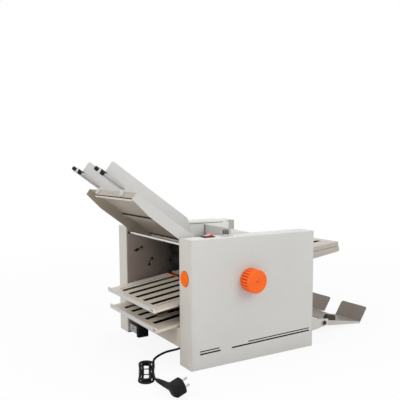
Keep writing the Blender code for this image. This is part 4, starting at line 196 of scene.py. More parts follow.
MIDDLE = (0.3, 0.7)
CLOUDS = Pattern(7, 4, *MIDDLE)
INNER_CLOUDS = Pattern(16, 4, 0.35, 0.65)
SMUDGES = Pattern(26, 6, 0.58, 0.74)
GRAINS = Pattern(2400, 1, 0.35, 0.65)
TARNISH = Pattern(60, 4, 0.55, 0.8)
METAL_WEAR = Pattern(45, 3, *MIDDLE)
PLASTIC_FLOW = Pattern(30, 4, *MIDDLE)
DUST = Pattern(240, 5, 0.52, 0.8)
HANDLING = Pattern(70, 4, *MIDDLE)
CHALKING = Pattern(90, 5, 0.45, 0.8)
RUBBER_WEAR = Pattern(120, 3, *MIDDLE)
THIN_INK = Pattern(1400, 3, *MIDDLE)
INK_SHEEN = Pattern(500, 3, *MIDDLE)


class Shader:
    """One node material under construction, on object coordinates."""

    def __init__(self, name: str) -> None:
        """Start a material with its surface shader and its coordinates.

        Args:
            name: the finish's name.
        """
        self.material = bpy.data.materials.new(name)
        self.material.use_nodes = True
        self.tree = self.material.node_tree
        self.surface = self.tree.nodes["Principled BSDF"]
        self.place = self.step("TexCoord", result="Object")
        self.normal = self.step("TexCoord", result="Normal")

    def step(self, kind: str, *inputs: dict[str | int, object], **settings: object) -> Socket:
        """Add a shader node of a kind, as joined() does."""
        return joined(self.tree, f"ShaderNode{kind}", *inputs, **settings)

    def stretched(self, scale: Place) -> Socket:
        """Object coordinates with each axis scaled."""
        return self.step("Mapping", {"Scale": scale, "Vector": self.place})

    def noise(self, scale: float, detail: float = 3, place: Socket | None = None) -> Socket:
        """A noise value, of about 0.3 to 0.7.

        Args:
            scale: repeats per metre.
            detail: octaves.
            place: coordinates, object coordinates if left out.

        Returns:
            The value's socket.
        """
        inputs = {"Scale": scale, "Detail": detail, "Vector": place or self.place}
        return self.step("TexNoise", inputs, result="Fac")

    def ranged(self, value: Socket, source: Span, target: Span = (0.0, 1.0)) -> Socket:
        """A value carried from one range to another, and held inside it."""
        return self.step("MapRange", {**dict(zip(RANGE_ENDS, (*source, *target))), "Value": value})

    def pattern(self, pattern: Pattern, least: float = 0.0, most: float = 1.0) -> Socket:
        """A pattern's noise, carried to the range from least to most."""
        value = self.noise(pattern.scale, pattern.detail)
        return self.ranged(value, (pattern.low, pattern.high), (least, most))

    def blended(self, factor: Socket, first: Colour | Socket, second: Colour | Socket) -> Socket:
        """A mix of two colours.

        Args:
            factor: 0 for the first and 1 for the second.
            first: one colour.
            second: the other.

        Returns:
            The mixed colour's socket.
        """
        inputs = {0: factor}
        for label, colour in ((MIX_FIRST, first), (MIX_SECOND, second)):
            inputs[label] = colour if isinstance(colour, Socket) else (*colour, 1)
        return self.step("Mix", inputs, result=MIX_RESULT, data_type="RGBA")

    def maths(self, operation: str, first: Socket, second: Socket | float) -> Socket:
        """What a math step makes of two values, such as their sum, or 1 where one is less."""
        return self.step("Math", {0: first, 1: second}, operation=operation)

    def share(self, vector: Socket, axis: str) -> Socket:
        """A vector's part along the X, Y or Z axis."""
        return self.step("SeparateXYZ", {0: vector}, result=axis)

    def left_of(self, x: float) -> Socket:
        """One where the surface lies left of x."""
        return self.maths("LESS_THAN", self.share(self.place, "X"), x)

    def facing_in(self) -> Socket:
        """One on faces that look towards the part's origin, such as the inside of a channel."""
        sockets = {0: self.normal, 1: self.place}
        outwards = self.step("VectorMath", sockets, result="Value", operation="DOT_PRODUCT")
        return self.maths("LESS_THAN", outwards, 0.0)

    def relief(self, height: Socket, depth: float) -> None:
        """Bump the surface by a height value, of the given depth in metres."""
        self.surfaced(Normal=self.step("Bump", {"Strength": 1.0, "Distance": depth, "Height": height}))

    def surfaced(self, **sockets: object) -> None:
        """Feed the surface's own sockets; an underscore stands for a space."""
        for label, value in sockets.items():
            fed(self.tree, self.surface.inputs[label.replace("_", " ")], value)


def toned(colour: Colour, share: float) -> Colour:
    """A colour made lighter or darker by a share."""
    return tuple(min(channel * share, 1.0) for channel in colour)


@dataclass(frozen=True)
class Finish:
    """A surface finish; its kinds say how the nodes are built."""

    name: str
    colour: Colour
    roughness: float
    spread: Span = (0.06, 0.07)

    def material(self) -> bpy.types.Material:
        """The finish's material, built on its first use."""
        ready = bpy.data.materials.get(self.name)
        if ready:
            return ready
        shader = Shader(self.name)
        self.build(shader)
        return shader.material

    def build(self, shader: Shader) -> None:
        """Add this kind's nodes."""
        raise NotImplementedError

    def rough_span(self) -> Span:
        """The range of roughness, spread about the finish's own."""
        return self.roughness - self.spread[0], self.roughness + self.spread[1]


@dataclass(frozen=True)
class PowderCoat(Finish):
    """Powder coat on sheet steel: soft mottling, faint handling marks and orange peel.

    Faces that look inwards may get a darker tone, painted shade, and the faces at the two ends and the
    flanks a tone of their own, painting how light falls on faces turned that way. Along X, the inner
    painted shade may darken further and stop at a place, and all left of a place may be painted dark as
    shade.
    """

    mottle: float = 0.016
    marks: float = 0.03
    peel_scale: float = 420.0
    peel_depth: float = 0.00005
    streak_scale: float = 40.0
    streak_stretch: Place = (1, 1, 0.25)
    smudged: float = 0.7
    grained: float = 0.8
    sheen: float = 0.42
    square_on: float = 0.7
    # Painted light and shade: tones by the way a face turns, and painted shade by place in X
    inner: Colour | None = None
    inner_shades: Span = (0.94, 1.06)
    inner_shade_fade: tuple[float, float, float] | None = None
    ends: Colour | None = None
    flanks: Colour | None = None
    inner_shade_until: float | None = None
    painted_shade_before: float | None = None
    dark: Colour = (0.02, 0.02, 0.02)

    def painted_light_by_facing(self, shader: Shader, base: Socket) -> Socket:
        """Mix in the light and shade painted by facing: end faces, flanks and inner faces.

        Args:
            shader: the material.
            base: the colour elsewhere.

        Returns:
            The mixed colour.
        """
        # The end faces and the flanks get tones that paint how light falls on them
        for label, coat in (("X", self.ends), ("Y", self.flanks)):
            if coat:
                across = shader.maths("ABSOLUTE", shader.share(shader.normal, label), 0.0)
                base = shader.blended(shader.maths("GREATER_THAN", across, self.square_on), base, coat)
        # Inner faces get painted shade, darker further along X and only left of a given place
        if self.inner:
            shades = (toned(self.inner, share) for share in self.inner_shades)
            inner = shader.blended(shader.pattern(INNER_CLOUDS), *shades)
            if self.inner_shade_fade:
                *run, share = self.inner_shade_fade
                faded = shader.ranged(shader.share(shader.place, "X"), run)
                inner = shader.blended(faded, inner, toned(self.inner, share))
            inner_shade_mask = shader.facing_in()
            if self.inner_shade_until is not None:
                inner_shade_mask = shader.maths("MULTIPLY", inner_shade_mask, shader.left_of(self.inner_shade_until))
            base = shader.blended(inner_shade_mask, base, inner)
        # All that lies left of a place is painted dark, as shade
        if self.painted_shade_before is not None:
            base = shader.blended(shader.left_of(self.painted_shade_before), base, self.dark)
        return base

    def build(self, shader: Shader) -> None:
        """Add the coat's nodes.

        Args:
            shader: the material.
        """
        darker, lighter = toned(self.colour, 1 - self.mottle), toned(self.colour, 1 + self.mottle)
        base = self.painted_light_by_facing(shader, shader.blended(shader.pattern(CLOUDS), darker, lighter))
        smudges = shader.pattern(SMUDGES, 0.0, self.marks * 2)
        marked = shader.blended(smudges, base, toned(self.colour, self.smudged))
        grains = shader.pattern(GRAINS, 0.0, self.marks)
        streaks = shader.noise(self.streak_scale, 3, shader.stretched(self.streak_stretch))
        peel = shader.maths("ADD", shader.noise(self.peel_scale, 2), shader.noise(self.peel_scale * 3, 1))
        shader.relief(peel, self.peel_depth)
        shader.surfaced(
            Base_Color=shader.blended(grains, marked, toned(self.colour, self.grained)),
            Roughness=shader.ranged(streaks, MIDDLE, self.rough_span()),
            Specular_IOR_Level=self.sheen,
        )


@dataclass(frozen=True)
class BrushedMetal(Finish):
    """Drawn, zinc-plated or machined metal with a grain along one axis.

    The shades and the tarnish are shares of its colour, and the last two add to its roughness.
    """

    spread: Span = (0.06, 0.12)
    grain: Place = (0.04, 1, 1)
    metallic: float = 1.0
    grain_scale: float = 1500.0
    grain_depth: float = 0.00002
    shades: Span = (0.82, 1.1)
    tarnish: float = 0.5
    tarnished: float = 0.6
    brushing: float = 0.12
    wear: float = 0.10

    def build(self, shader: Shader) -> None:
        """Add the metal's nodes.

        Args:
            shader: the material.
        """
        lines = shader.noise(self.grain_scale, 3, shader.stretched(self.grain))
        base = shader.blended(shader.ranged(lines, MIDDLE), *(toned(self.colour, s) for s in self.shades))
        brushed = shader.ranged(lines, MIDDLE, (0.0, self.brushing))
        spread = shader.maths("ADD", brushed, shader.pattern(METAL_WEAR, 0.0, self.wear))
        tarnish = shader.pattern(TARNISH, 0.0, self.tarnish)
        shader.relief(lines, self.grain_depth)
        shader.surfaced(
            Base_Color=shader.blended(tarnish, base, toned(self.colour, self.tarnished)),
            Roughness=shader.ranged(spread, (0.0, self.brushing + self.wear), self.rough_span()),
            Metallic=self.metallic,
        )


@dataclass(frozen=True)
class MouldedPlastic(Finish):
    """Moulded plastic: flow marks, fine spark-eroded texture and a little dust."""

    spread: Span = (0.06, 0.08)
    shades: Span = (0.93, 1.07)
    texture_scale: float = 1800.0
    texture_depth: float = 0.00003
    dust: float = 0.05
    dust_colour: Colour = (0.55, 0.53, 0.5)
    coat: float = 0.0
    coat_roughness: float = 0.08
    deep: float = 0.0
    deep_radius: Place = (0.004, 0.0015, 0.0008)
    gloss: float = 0.4

    def build(self, shader: Shader) -> None:
        """Add the plastic's nodes.

        Args:
            shader: the material.
        """
        flow = shader.pattern(PLASTIC_FLOW)
        base = shader.blended(flow, *(toned(self.colour, share) for share in self.shades))
        shader.relief(shader.noise(self.texture_scale, 2), self.texture_depth)
        shader.surfaced(
            Base_Color=shader.blended(shader.pattern(DUST, 0.0, self.dust * 2), base, self.dust_colour),
            Roughness=shader.pattern(HANDLING, *self.rough_span()),
            Coat_Weight=self.coat,
            Coat_Roughness=self.coat_roughness,
            Subsurface_Weight=self.deep,
            Specular_IOR_Level=self.gloss,
        )
        if self.deep:
            shader.surfaced(Subsurface_Radius=self.deep_radius, Subsurface_Scale=1.0)


@dataclass(frozen=True)
class Rubber(Finish):
    """Rubber or soft PVC: matt, a little chalky, with a ground or moulded grain."""

    spread: Span = (0.08, 0.08)
    grain: Place = (1, 1, 1)
    grain_scale: float = 900.0
    grain_depth: float = 0.00005
    grain_colour: Colour = (0.45, 0.44, 0.42)
    chalk: float = 0.08
    chalk_colour: Colour = (0.33, 0.32, 0.31)
    gloss: float = 0.12

    def build(self, shader: Shader) -> None:
        """Add the rubber's nodes.

        Args:
            shader: the material.
        """
        base = shader.blended(shader.pattern(CHALKING, 0.0, self.chalk * 3), self.colour, self.chalk_colour)
        lines = shader.noise(self.grain_scale, 3, shader.stretched(self.grain))
        tone = shader.ranged(lines, (GRAINS.low, GRAINS.high), (0.0, self.chalk))
        shader.relief(lines, self.grain_depth)
        shader.surfaced(
            Base_Color=shader.blended(tone, base, self.grain_colour),
            Roughness=shader.pattern(RUBBER_WEAR, *self.rough_span()),
            Specular_IOR_Level=self.gloss,
        )


@dataclass(frozen=True)
class Print(Finish):
    """Screen-printed ink: a thin, slightly uneven film."""

    spread: Span = (0.0, 0.15)
    thinning: float = 0.25
    worn: Colour = (0.3, 0.3, 0.3)
    film_scale: float = 1600.0
    film_depth: float = 0.00001

    def build(self, shader: Shader) -> None:
        """Add the ink's nodes.

        Args:
            shader: the material.
        """
        shader.relief(shader.noise(self.film_scale), self.film_depth)
        shader.surfaced(
            Base_Color=shader.blended(shader.pattern(THIN_INK, 0.0, self.thinning), self.colour, self.worn),
            Roughness=shader.pattern(INK_SHEEN, *self.rough_span()),
        )


# The machine's finishes
# The end faces' darker, warmer tone is painted shade
HOUSING_COAT = PowderCoat("housing_powder_coat", (0.62, 0.617, 0.597), 0.46, ends=(0.60, 0.575, 0.53))
# The flanks' lighter tone is painted light
TOP_COAT = PowderCoat("top_cover_powder_coat", (0.64, 0.635, 0.615), 0.46, flanks=(0.80, 0.795, 0.775))
# The end faces' brown tone is painted shade, and so is the brown of the inner faces, darker towards the
# machine
TRAY_COAT = PowderCoat(
    "tray_powder_coat", (0.64, 0.632, 0.607), 0.48, ends=(0.40, 0.36, 0.31),
    inner=(0.42, 0.362, 0.292), inner_shade_fade=(-0.33, -0.12, 0.60),
)
# The brown of the inner faces is painted shade
PLATE_COAT = PowderCoat("fold_plate_powder_coat", (0.78, 0.705, 0.60), 0.44, inner=(0.42, 0.36, 0.29))
RIGHT_PLATE_COAT = PowderCoat("right_plate_powder_coat", (0.50, 0.455, 0.405), 0.44)
PANEL_COAT = PowderCoat("end_panel_powder_coat", (0.60, 0.54, 0.465), 0.5)
# The darker tone of the inner faces is painted shade, darker still towards the rollers, and only left of x
# = 0.12
FRAME_COAT = PowderCoat(
    "frame_plate_coat", (0.50, 0.485, 0.455), 0.55, marks=0.08, inner=(0.385, 0.315, 0.28),
    inner_shade_fade=(-0.21, -0.04, 0.11), inner_shade_until=0.12,
)
# Left of x = -0.4115 the side guides are painted nearly black, as shade
WING_COAT = PowderCoat("side_guide_powder_coat", (0.66, 0.658, 0.645), 0.46, painted_shade_before=-0.4115)
# A lighter copy of the tray's paint for the faces of its strips and its lip: painted light
LIT_TRAY_COAT = PowderCoat("strip_face_coat", (0.77, 0.715, 0.635), 0.42)
LIP_COAT = PowderCoat("plate_lip_coat", (0.62, 0.62, 0.61), 0.42)
# The flanks show the delivery tray's own light paint; the dark taupe elsewhere is painted shade
DELIVERY_COAT = PowderCoat(
    "delivery_tray_coat", (0.25, 0.215, 0.185), 0.38, marks=0.12, flanks=(0.60, 0.585, 0.565)
)
BRACKET_COAT = PowderCoat("delivery_bracket_coat", (0.69, 0.665, 0.63), 0.46)
FOOT_BRACKET_COAT = PowderCoat("foot_bracket_coat", (0.36, 0.36, 0.36), 0.5)
ZINC = BrushedMetal("zinc_plated_steel", (0.62, 0.62, 0.63), 0.26, grain=(1, 0.05, 1))
BRIGHT_STEEL = BrushedMetal("bright_turned_steel", (0.80, 0.80, 0.80), 0.2)
PIN_STEEL = BrushedMetal("nickel_plated_pin", (0.42, 0.41, 0.40), 0.3)
DARK_STEEL = BrushedMetal("black_oxide_steel", (0.055, 0.052, 0.05), 0.36, metallic=0.8)
GEAR_STEEL = BrushedMetal("machined_gear_steel", (0.36, 0.36, 0.37), 0.34, grain=(1, 1, 1))
MOTOR_METAL = BrushedMetal("cast_motor_housing", (0.34, 0.34, 0.35), 0.45, grain=(1, 1, 1))
ROLLER_RUBBER = Rubber("ground_roller_rubber", (0.02, 0.02, 0.022), 0.6, grain=(1, 0.02, 1), chalk=0.03)
BLACK_RUBBER = Rubber("black_moulded_rubber", (0.008, 0.008, 0.009), 0.62, chalk=0.012)
CORD_PVC = Rubber("black_cord_sheath", (0.006, 0.006, 0.007), 0.45, grain_scale=500, chalk=0.008)
# Black for the bars and sheets that paint the shade in vents and slots, and for the dark clip
SHADE_AND_CLIP_BLACK = Rubber("dark_slot_liner", (0.010, 0.007, 0.005), 0.8, chalk=0.01)
# Brown for the pad under the upper left plate, and for the painted shadow round the side plug's disc
PAD_AND_SHADE_BROWN = Rubber("brown_edge_clip", (0.075, 0.058, 0.043), 0.6, chalk=0.02)
GUIDE_DARK = BrushedMetal("blackened_guide_sheet", (0.035, 0.033, 0.032), 0.4, metallic=0.6)
BELT_RUBBER = Rubber("drive_belt_rubber", (0.03, 0.03, 0.03), 0.7, grain=(1, 4, 1))
ORANGE = MouldedPlastic("orange_knob_plastic", (1.0, 0.145, 0.012), 0.42, dust=0.01, gloss=0.25)
# A darker orange for the knob's grooves: painted shade
GROOVE_ORANGE = MouldedPlastic("shaded_knob_groove", (0.56, 0.035, 0.002), 0.6, dust=0.01, gloss=0.1)
DISC_ORANGE = MouldedPlastic("orange_cap_plastic", (1.0, 0.155, 0.0), 0.55, dust=0.0, gloss=0.12)
BLACK_PLASTIC = MouldedPlastic("black_moulded_plastic", (0.008, 0.008, 0.008), 0.42, dust=0.01, gloss=0.2)
DARK_BROWN_PLASTIC = MouldedPlastic("dark_brown_catch_plastic", (0.055, 0.04, 0.03), 0.5, dust=0.02)
ROCKER_RED = MouldedPlastic("lit_rocker_red", (0.52, 0.006, 0.008), 0.16, dust=0.01, coat=0.8, deep=0.3)
GREY_CAP = BrushedMetal("spun_grey_knob_cap", (0.15, 0.152, 0.155), 0.42, grain=(1, 1, 1), metallic=0.7)
SATIN_SKIRT = BrushedMetal("satin_knob_skirt", (0.55, 0.55, 0.54), 0.28, grain=(1, 1, 0.05))
BLACK_INK = Print("black_dial_ink", (0.012, 0.012, 0.012), 0.5)
WHITE_INK = Print("white_mark_ink", (0.80, 0.80, 0.78), 0.45)
SCALE_INK = Print("blue_grey_scale_ink", (0.055, 0.075, 0.17), 0.5)
SCALE_WHITE = Print("white_scale_tape", (0.80, 0.80, 0.80), 0.5)
# Dark for the strips that paint the shadow in gaps, and in the screws' cross recesses
SHADOW_GAP = Rubber("dark_seam_filler", (0.02, 0.018, 0.016), 0.8, chalk=0.02)
FELT = Rubber("grey_felt_pad", (0.16, 0.155, 0.15), 0.9, grain_scale=1600, grain_depth=0.0002)

NODE_FINISHES: dict[Finish, tuple[str, ...]] = {
    HOUSING_COAT: ("near_cover", "far_cover", "right_panel"),
    TOP_COAT: ("feed_head_cover", "top_cover"),
    TRAY_COAT: ("feed_tray",),
    PLATE_COAT: ("upper_left_fold_plate", "lower_left_fold_plate"),
    RIGHT_PLATE_COAT: ("upper_right_fold_plate", "lower_right_fold_plate"),
    PANEL_COAT: ("left_panel",),
    FRAME_COAT: ("near_frame", "far_frame", "base_beam"),
    WING_COAT: ("near_side_guide", "far_side_guide"),
    DELIVERY_COAT: ("delivery_tray",),
    BRACKET_COAT: ("delivery_bracket",),
    FOOT_BRACKET_COAT: ("foot_bracket",),
    BRIGHT_STEEL: ("tie_rod",),
    ZINC: ("upper_right_stop", "lower_right_stop", "tray_pivot_rod"),
    GUIDE_DARK: ("infeed_guide", "exit_chute", "upper_left_stop", "lower_left_stop"),
    GEAR_STEEL: (
        "main_gear", "first_gear", "third_gear", "fourth_gear", "fifth_gear", "sixth_gear",
        "idler_gear", "feed_gear", "motor_pulley",
    ),
    MOTOR_METAL: ("drive_motor",),
    ROLLER_RUBBER: (
        "main_roller", "first_roller", "third_roller", "fourth_roller", "fifth_roller", "sixth_roller",
        "feed_roller",
    ),
    BELT_RUBBER: ("drive_belt",),
    DISC_ORANGE: ("side_plug",),
    BLACK_PLASTIC: ("switch_bezel", "cord_tie"),
    DARK_BROWN_PLASTIC: ("delivery_stop",),
    ROCKER_RED: ("rocker",),
    BLACK_RUBBER: ("support_foot", "cord_gland", "mains_plug"),
    FELT: ("separator_pad",),
}


def in_scene(name: str, data: bpy.types.ID) -> Piece:
    """A new object of the scene, with the given data."""
    piece = bpy.data.objects.new(name, data)
    bpy.context.scene.collection.objects.link(piece)
    return piece


class Bench:
    """Blender's own modelling tools, called as by hand on one new piece at a time."""

    @staticmethod
    def clear_selection() -> None:
        """Leave nothing selected in object mode."""
        bpy.ops.object.select_all(action="DESELECT")

    @classmethod
    def hold(cls, piece: Piece) -> None:
        """Make a piece the only selected one."""
        cls.clear_selection()
        piece.select_set(True)
        bpy.context.view_layer.objects.active = piece

    @classmethod
    @contextmanager
    def editing(cls, piece: Piece, action: str = "DESELECT") -> Iterator[None]:
        """Edit mode on one piece.

        Args:
            piece: the piece.
            action: SELECT or DESELECT, for what is selected at first.
        """
        cls.hold(piece)
        bpy.ops.object.mode_set(mode="EDIT")
        bpy.ops.mesh.select_all(action=action)
        yield
        bpy.ops.object.mode_set(mode="OBJECT")

    @staticmethod
    def pick(piece: Piece, wanted: Callable[[object], bool], element: Element = Element.FACE) -> None:
        """Select what a test names, and nothing else, in edit mode.

        Args:
            piece: the piece in edit mode.
            wanted: the test.
            element: faces or edges.
        """
        bpy.ops.mesh.select_mode(type=element.name)
        mesh = bmesh.from_edit_mesh(piece.data)
        for item in getattr(mesh, element.value):
            item.select_set(wanted(item))
        bmesh.update_edit_mesh(piece.data)

    @staticmethod
    def drawn_out(x: float, y: float, z: float) -> None:
        """Extrude what is selected, in edit mode."""
        bpy.ops.mesh.extrude_region_move(TRANSFORM_OT_translate={"value": (x, y, z)})

    @staticmethod
    def faced_out() -> None:
        """Turn all faces outwards, in edit mode."""
        bpy.ops.mesh.select_all(action="SELECT")
        bpy.ops.mesh.normals_make_consistent(inside=False)

    @classmethod
    def settle(cls, piece: Piece, place: Matrix = ORIGIN) -> Piece:
        """Bake a piece's place into its mesh, so that its object stays at the origin.

        Args:
            piece: the piece.
            place: where it goes from where it is.

        Returns:
            The piece.
        """
        cls.hold(piece)
        piece.matrix_world = place @ piece.matrix_world
        bpy.ops.object.transform_apply(location=True, rotation=True, scale=True)
        return piece

    @classmethod
    def started(cls, name: str) -> Piece:
        """Take up the primitive that was just added, under its name."""
        piece = bpy.context.active_object
        piece.name = name
        return cls.settle(piece)

    @classmethod
    def apply(cls, piece: Piece, kind: str, **settings: object) -> None:
        """Add a modifier with its settings, and apply it.

        Args:
            piece: the piece.
            kind: the modifier's type.
            settings: the modifier's own settings.
        """
        cls.hold(piece)
        modifier = piece.modifiers.new(kind.lower(), kind)
        for label, value in settings.items():
            setattr(modifier, label, value)
        bpy.ops.object.modifier_apply(modifier=modifier.name)

    @classmethod
    def shaded(cls, piece: Piece, angle: float = SHARP_ANGLE) -> Piece:
        """Shade a piece smooth, apart from edges sharper than an angle in degrees."""
        cls.hold(piece)
        bpy.ops.object.shade_smooth_by_angle(angle=math.radians(angle))
        return piece

    @classmethod
    def soften(cls, piece: Piece, width: float, angle: float = SHARP_ANGLE) -> Piece:
        """Bevel a piece's sharp edges in two steps and shade it smooth between them.

        Args:
            piece: the piece.
            width: the bevel's width.
            angle: degrees above which an edge is sharp.

        Returns:
            The piece.
        """
        limit = math.radians(angle)
        cls.apply(piece, "BEVEL", width=width, segments=2, limit_method="ANGLE", angle_limit=limit)
        return cls.shaded(piece, angle)

    @classmethod
    def block(
        cls, name: str, size: Sequence[float], place: Matrix, width: float = 0.0003, slits: int = 0
    ) -> Piece:
        """A bar with a drawn-in top face and softened edges.

        Args:
            name: the piece's name.
            size: its length, width and height.
            place: where the middle of its foot stands, and how it is turned.
            width: the bevel's width.
            slits: cuts across its length, so that a long one can be checked for straightness.

        Returns:
            The piece.
        """
        length, _, height = size
        bpy.ops.mesh.primitive_cube_add(size=1, location=(0, 0, height / 2), scale=size)
        piece = cls.started(name)
        with cls.editing(piece):
            cls.pick(piece, lambda face: face.normal.z > LEVEL)
            bpy.ops.mesh.inset(thickness=min(size) * TOP_INSET_SHARE, depth=0)
            for cut in range(slits):
                bpy.ops.mesh.select_all(action="SELECT")
                away = length * ((cut + 1) / (slits + 1) - 0.5)
                bpy.ops.mesh.bisect(plane_co=(away, 0, 0), plane_no=(1, 0, 0))
        cls.soften(piece, min(width, min(size) * MOST_BEVEL_SHARE))
        return cls.settle(piece, place)

    @classmethod
    def turned(cls, name: str, rings: Rings, place: Matrix = ORIGIN, sides: int = 24) -> Piece:
        """A turned piece, drawn up ring by ring from a disc.

        Args:
            name: the piece's name.
            rings: radius and height of each ring, from the foot up.
            place: where its foot stands, and how it is turned.
            sides: faces round it.

        Returns:
            The piece.
        """
        radius, height = rings[0]
        bpy.ops.mesh.primitive_circle_add(
            vertices=sides, radius=radius, fill_type="NGON", location=(0, 0, height)
        )
        piece = cls.started(name)
        with cls.editing(piece, "SELECT"):
            for next_radius, next_height in rings[1:]:
                cls.drawn_out(0, 0, next_height - height)
                grow = next_radius / radius
                bpy.ops.transform.resize(value=(grow, grow, 1), center_override=(0, 0, next_height))
                radius, height = next_radius, next_height
            cls.faced_out()
        cls.shaded(piece)
        return cls.settle(piece, place)

    @classmethod
    def hollow(cls, name: str, rings: Rings, bore: float, place: Matrix) -> Piece:
        """A turned piece with a round bore right through it.

        Args:
            name: the piece's name.
            rings: radius and height of each outer ring, from the foot up.
            bore: the bore's radius.
            place: where its foot stands, and how it is turned.

        Returns:
            The piece.
        """
        foot, top = rings[0][1], rings[-1][1]
        piece = cls.turned(name, [(bore, foot), *rings, (bore, top), (bore, foot)], sides=32)
        with cls.editing(piece):
            cls.pick(piece, lambda face: len(face.verts) > 4)
            bpy.ops.mesh.delete(type="FACE")
            bpy.ops.mesh.select_all(action="SELECT")
            bpy.ops.mesh.remove_doubles(threshold=MERGE)
            cls.faced_out()
        cls.shaded(piece)
        return cls.settle(piece, place)

    @classmethod
    def fluted(
        cls, piece: Piece, sides: int, depth: float, border: float = 0.0002, beyond: float = 0.0
    ) -> None:
        """Push every third upright face round a turned piece in or out.

        Args:
            piece: the piece, still standing on the origin.
            sides: faces round it.
            depth: how far they move out, negative for a groove.
            border: what stays of each face on its sides.
            beyond: how far from the axis a face must be.
        """

        def wanted(face: bmesh.types.BMFace) -> bool:
            """Whether the face is one of those to push."""
            turn = math.degrees(math.atan2(face.normal.y, face.normal.x)) * sides / 360
            outer = face.calc_center_median().xy.length > beyond
            return abs(face.normal.z) < UPRIGHT and outer and round(turn - 0.5) % 3 == 0

        with cls.editing(piece):
            cls.pick(piece, wanted)
            bpy.ops.mesh.inset(thickness=border, depth=depth, use_individual=True)

    @classmethod
    def folded(cls, name: str, line: Rings, low: float, high: float, thickness: float) -> Piece:
        """A folded sheet: an edge across the machine, drawn along a line in X and Z.

        Args:
            name: the piece's name.
            line: the folds' places in X and Z.
            low: its near side in Y.
            high: its far side in Y.
            thickness: the sheet's thickness.

        Returns:
            The piece.
        """
        (x, z), *others = line
        bpy.ops.mesh.primitive_plane_add(size=1, location=(0.5, 0, 0))
        piece = cls.started(name)
        with cls.editing(piece):
            cls.pick(piece, lambda edge: all(v.co.x > 0.5 for v in edge.verts), Element.EDGE)
            bpy.ops.mesh.delete(type="VERT")
            bpy.ops.mesh.select_all(action="SELECT")
            bpy.ops.transform.resize(value=(1, high - low, 1), center_override=(0, 0, 0))
            bpy.ops.transform.translate(value=(x, (low + high) / 2, z))
            for next_x, next_z in others:
                cls.drawn_out(next_x - x, 0, next_z - z)
                x, z = next_x, next_z
        cls.apply(piece, "SOLIDIFY", thickness=thickness, offset=0)
        return cls.soften(piece, thickness * FOLD_BEVEL_SHARE)

    @classmethod
    def lettered(cls, name: str, words: str, size: float, place: Matrix, depth: float) -> Piece:
        """A printed number or mark, as a thin mesh.

        Args:
            name: the piece's name.
            words: what it says.
            size: the letters' height.
            place: where its middle lies, and how it is turned.
            depth: half the film's thickness.

        Returns:
            The piece.
        """
        bpy.ops.object.text_add()
        piece = bpy.context.active_object
        piece.name = name
        piece.data.body = words
        piece.data.size = size
        piece.data.align_x = piece.data.align_y = "CENTER"
        piece.data.extrude = depth
        piece.data.resolution_u = 2
        cls.hold(piece)
        bpy.ops.object.convert(target="MESH")
        return cls.settle(piece, place)

    @classmethod
    def fused(cls, name: str, pieces: Sequence[Piece]) -> Piece:
        """Several pieces, joined into one object.

        Args:
            name: the whole piece's name.
            pieces: the pieces; the first one takes up the others.

        Returns:
            The whole piece.
        """
        cls.clear_selection()
        for piece in pieces:
            piece.select_set(True)
        bpy.context.view_layer.objects.active = pieces[0]
        bpy.ops.object.join()
        pieces[0].name = name
        return pieces[0]


def dressed(piece: Piece, finish: Finish, body: str = "frame") -> Piece:
    """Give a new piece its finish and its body.

    Args:
        piece: the piece.
        finish: its finish.
        body: the CAD body that it moves with, the frame if left out.

    Returns:
        The piece.
    """
    piece.data.materials.clear()
    piece.data.materials.append(finish.material())
    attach(piece, body)
    LOG.info("piece %s on %s, %s", piece.name, body, finish.name)
    return piece


@dataclass
class CadNodes:
    """The CAD nodes that stay: better materials, and welding and smooth shading as modifiers."""

    nodes: dict[str, Piece]
    sharp: float = math.radians(32.0)
    weld: float = 0.00002

    def smoothing_group(self) -> bpy.types.NodeTree:
        """A geometry group that shades a mesh smooth between its sharp edges."""
        group = bpy.data.node_groups.new("smooth_between_edges", "GeometryNodeTree")
        for way in ("INPUT", "OUTPUT"):
            group.interface.new_socket("Geometry", in_out=way, socket_type="NodeSocketGeometry")
        start = joined(group, "NodeGroupInput")
        angle = joined(group, "GeometryNodeInputMeshEdgeAngle", result="Unsigned Angle")
        compared = {"data_type": "FLOAT", "operation": "LESS_THAN"}
        soft = joined(group, "FunctionNodeCompare", {0: angle, 1: self.sharp}, **compared)
        faces = joined(group, "GeometryNodeSetShadeSmooth", {"Geometry": start})
        sockets = {"Geometry": faces, "Shade Smooth": soft}
        edges = joined(group, "GeometryNodeSetShadeSmooth", sockets, domain="EDGE")
        joined(group, "NodeGroupOutput", {0: edges})
        return group

    def dress(self) -> None:
        """Dress every node that has a finish."""
        group = self.smoothing_group()
        for finish, names in NODE_FINISHES.items():
            for name in names:
                node = self.nodes[name]
                for slot in node.material_slots:
                    slot.material = finish.material()
                node.modifiers.new("weld", "WELD").merge_threshold = self.weld
                node.modifiers.new("smooth", "NODES").node_group = group
                LOG.info("CAD node %s, %s", name, finish.name)


@dataclass(frozen=True)
class Stud:
    """A plain round head: its radius, its rim's height, its top's radius and height, and its sides."""

    radius: float
    rim: float
    top_radius: float
    height: float
    sides: int

    def make(self, name: str, place: Matrix) -> Piece:
        """Turn the head where it belongs."""
        rings = [(self.radius, 0.0), (self.radius, self.rim), (self.top_radius, self.height)]
        return Bench.turned(name, rings, place, self.sides)


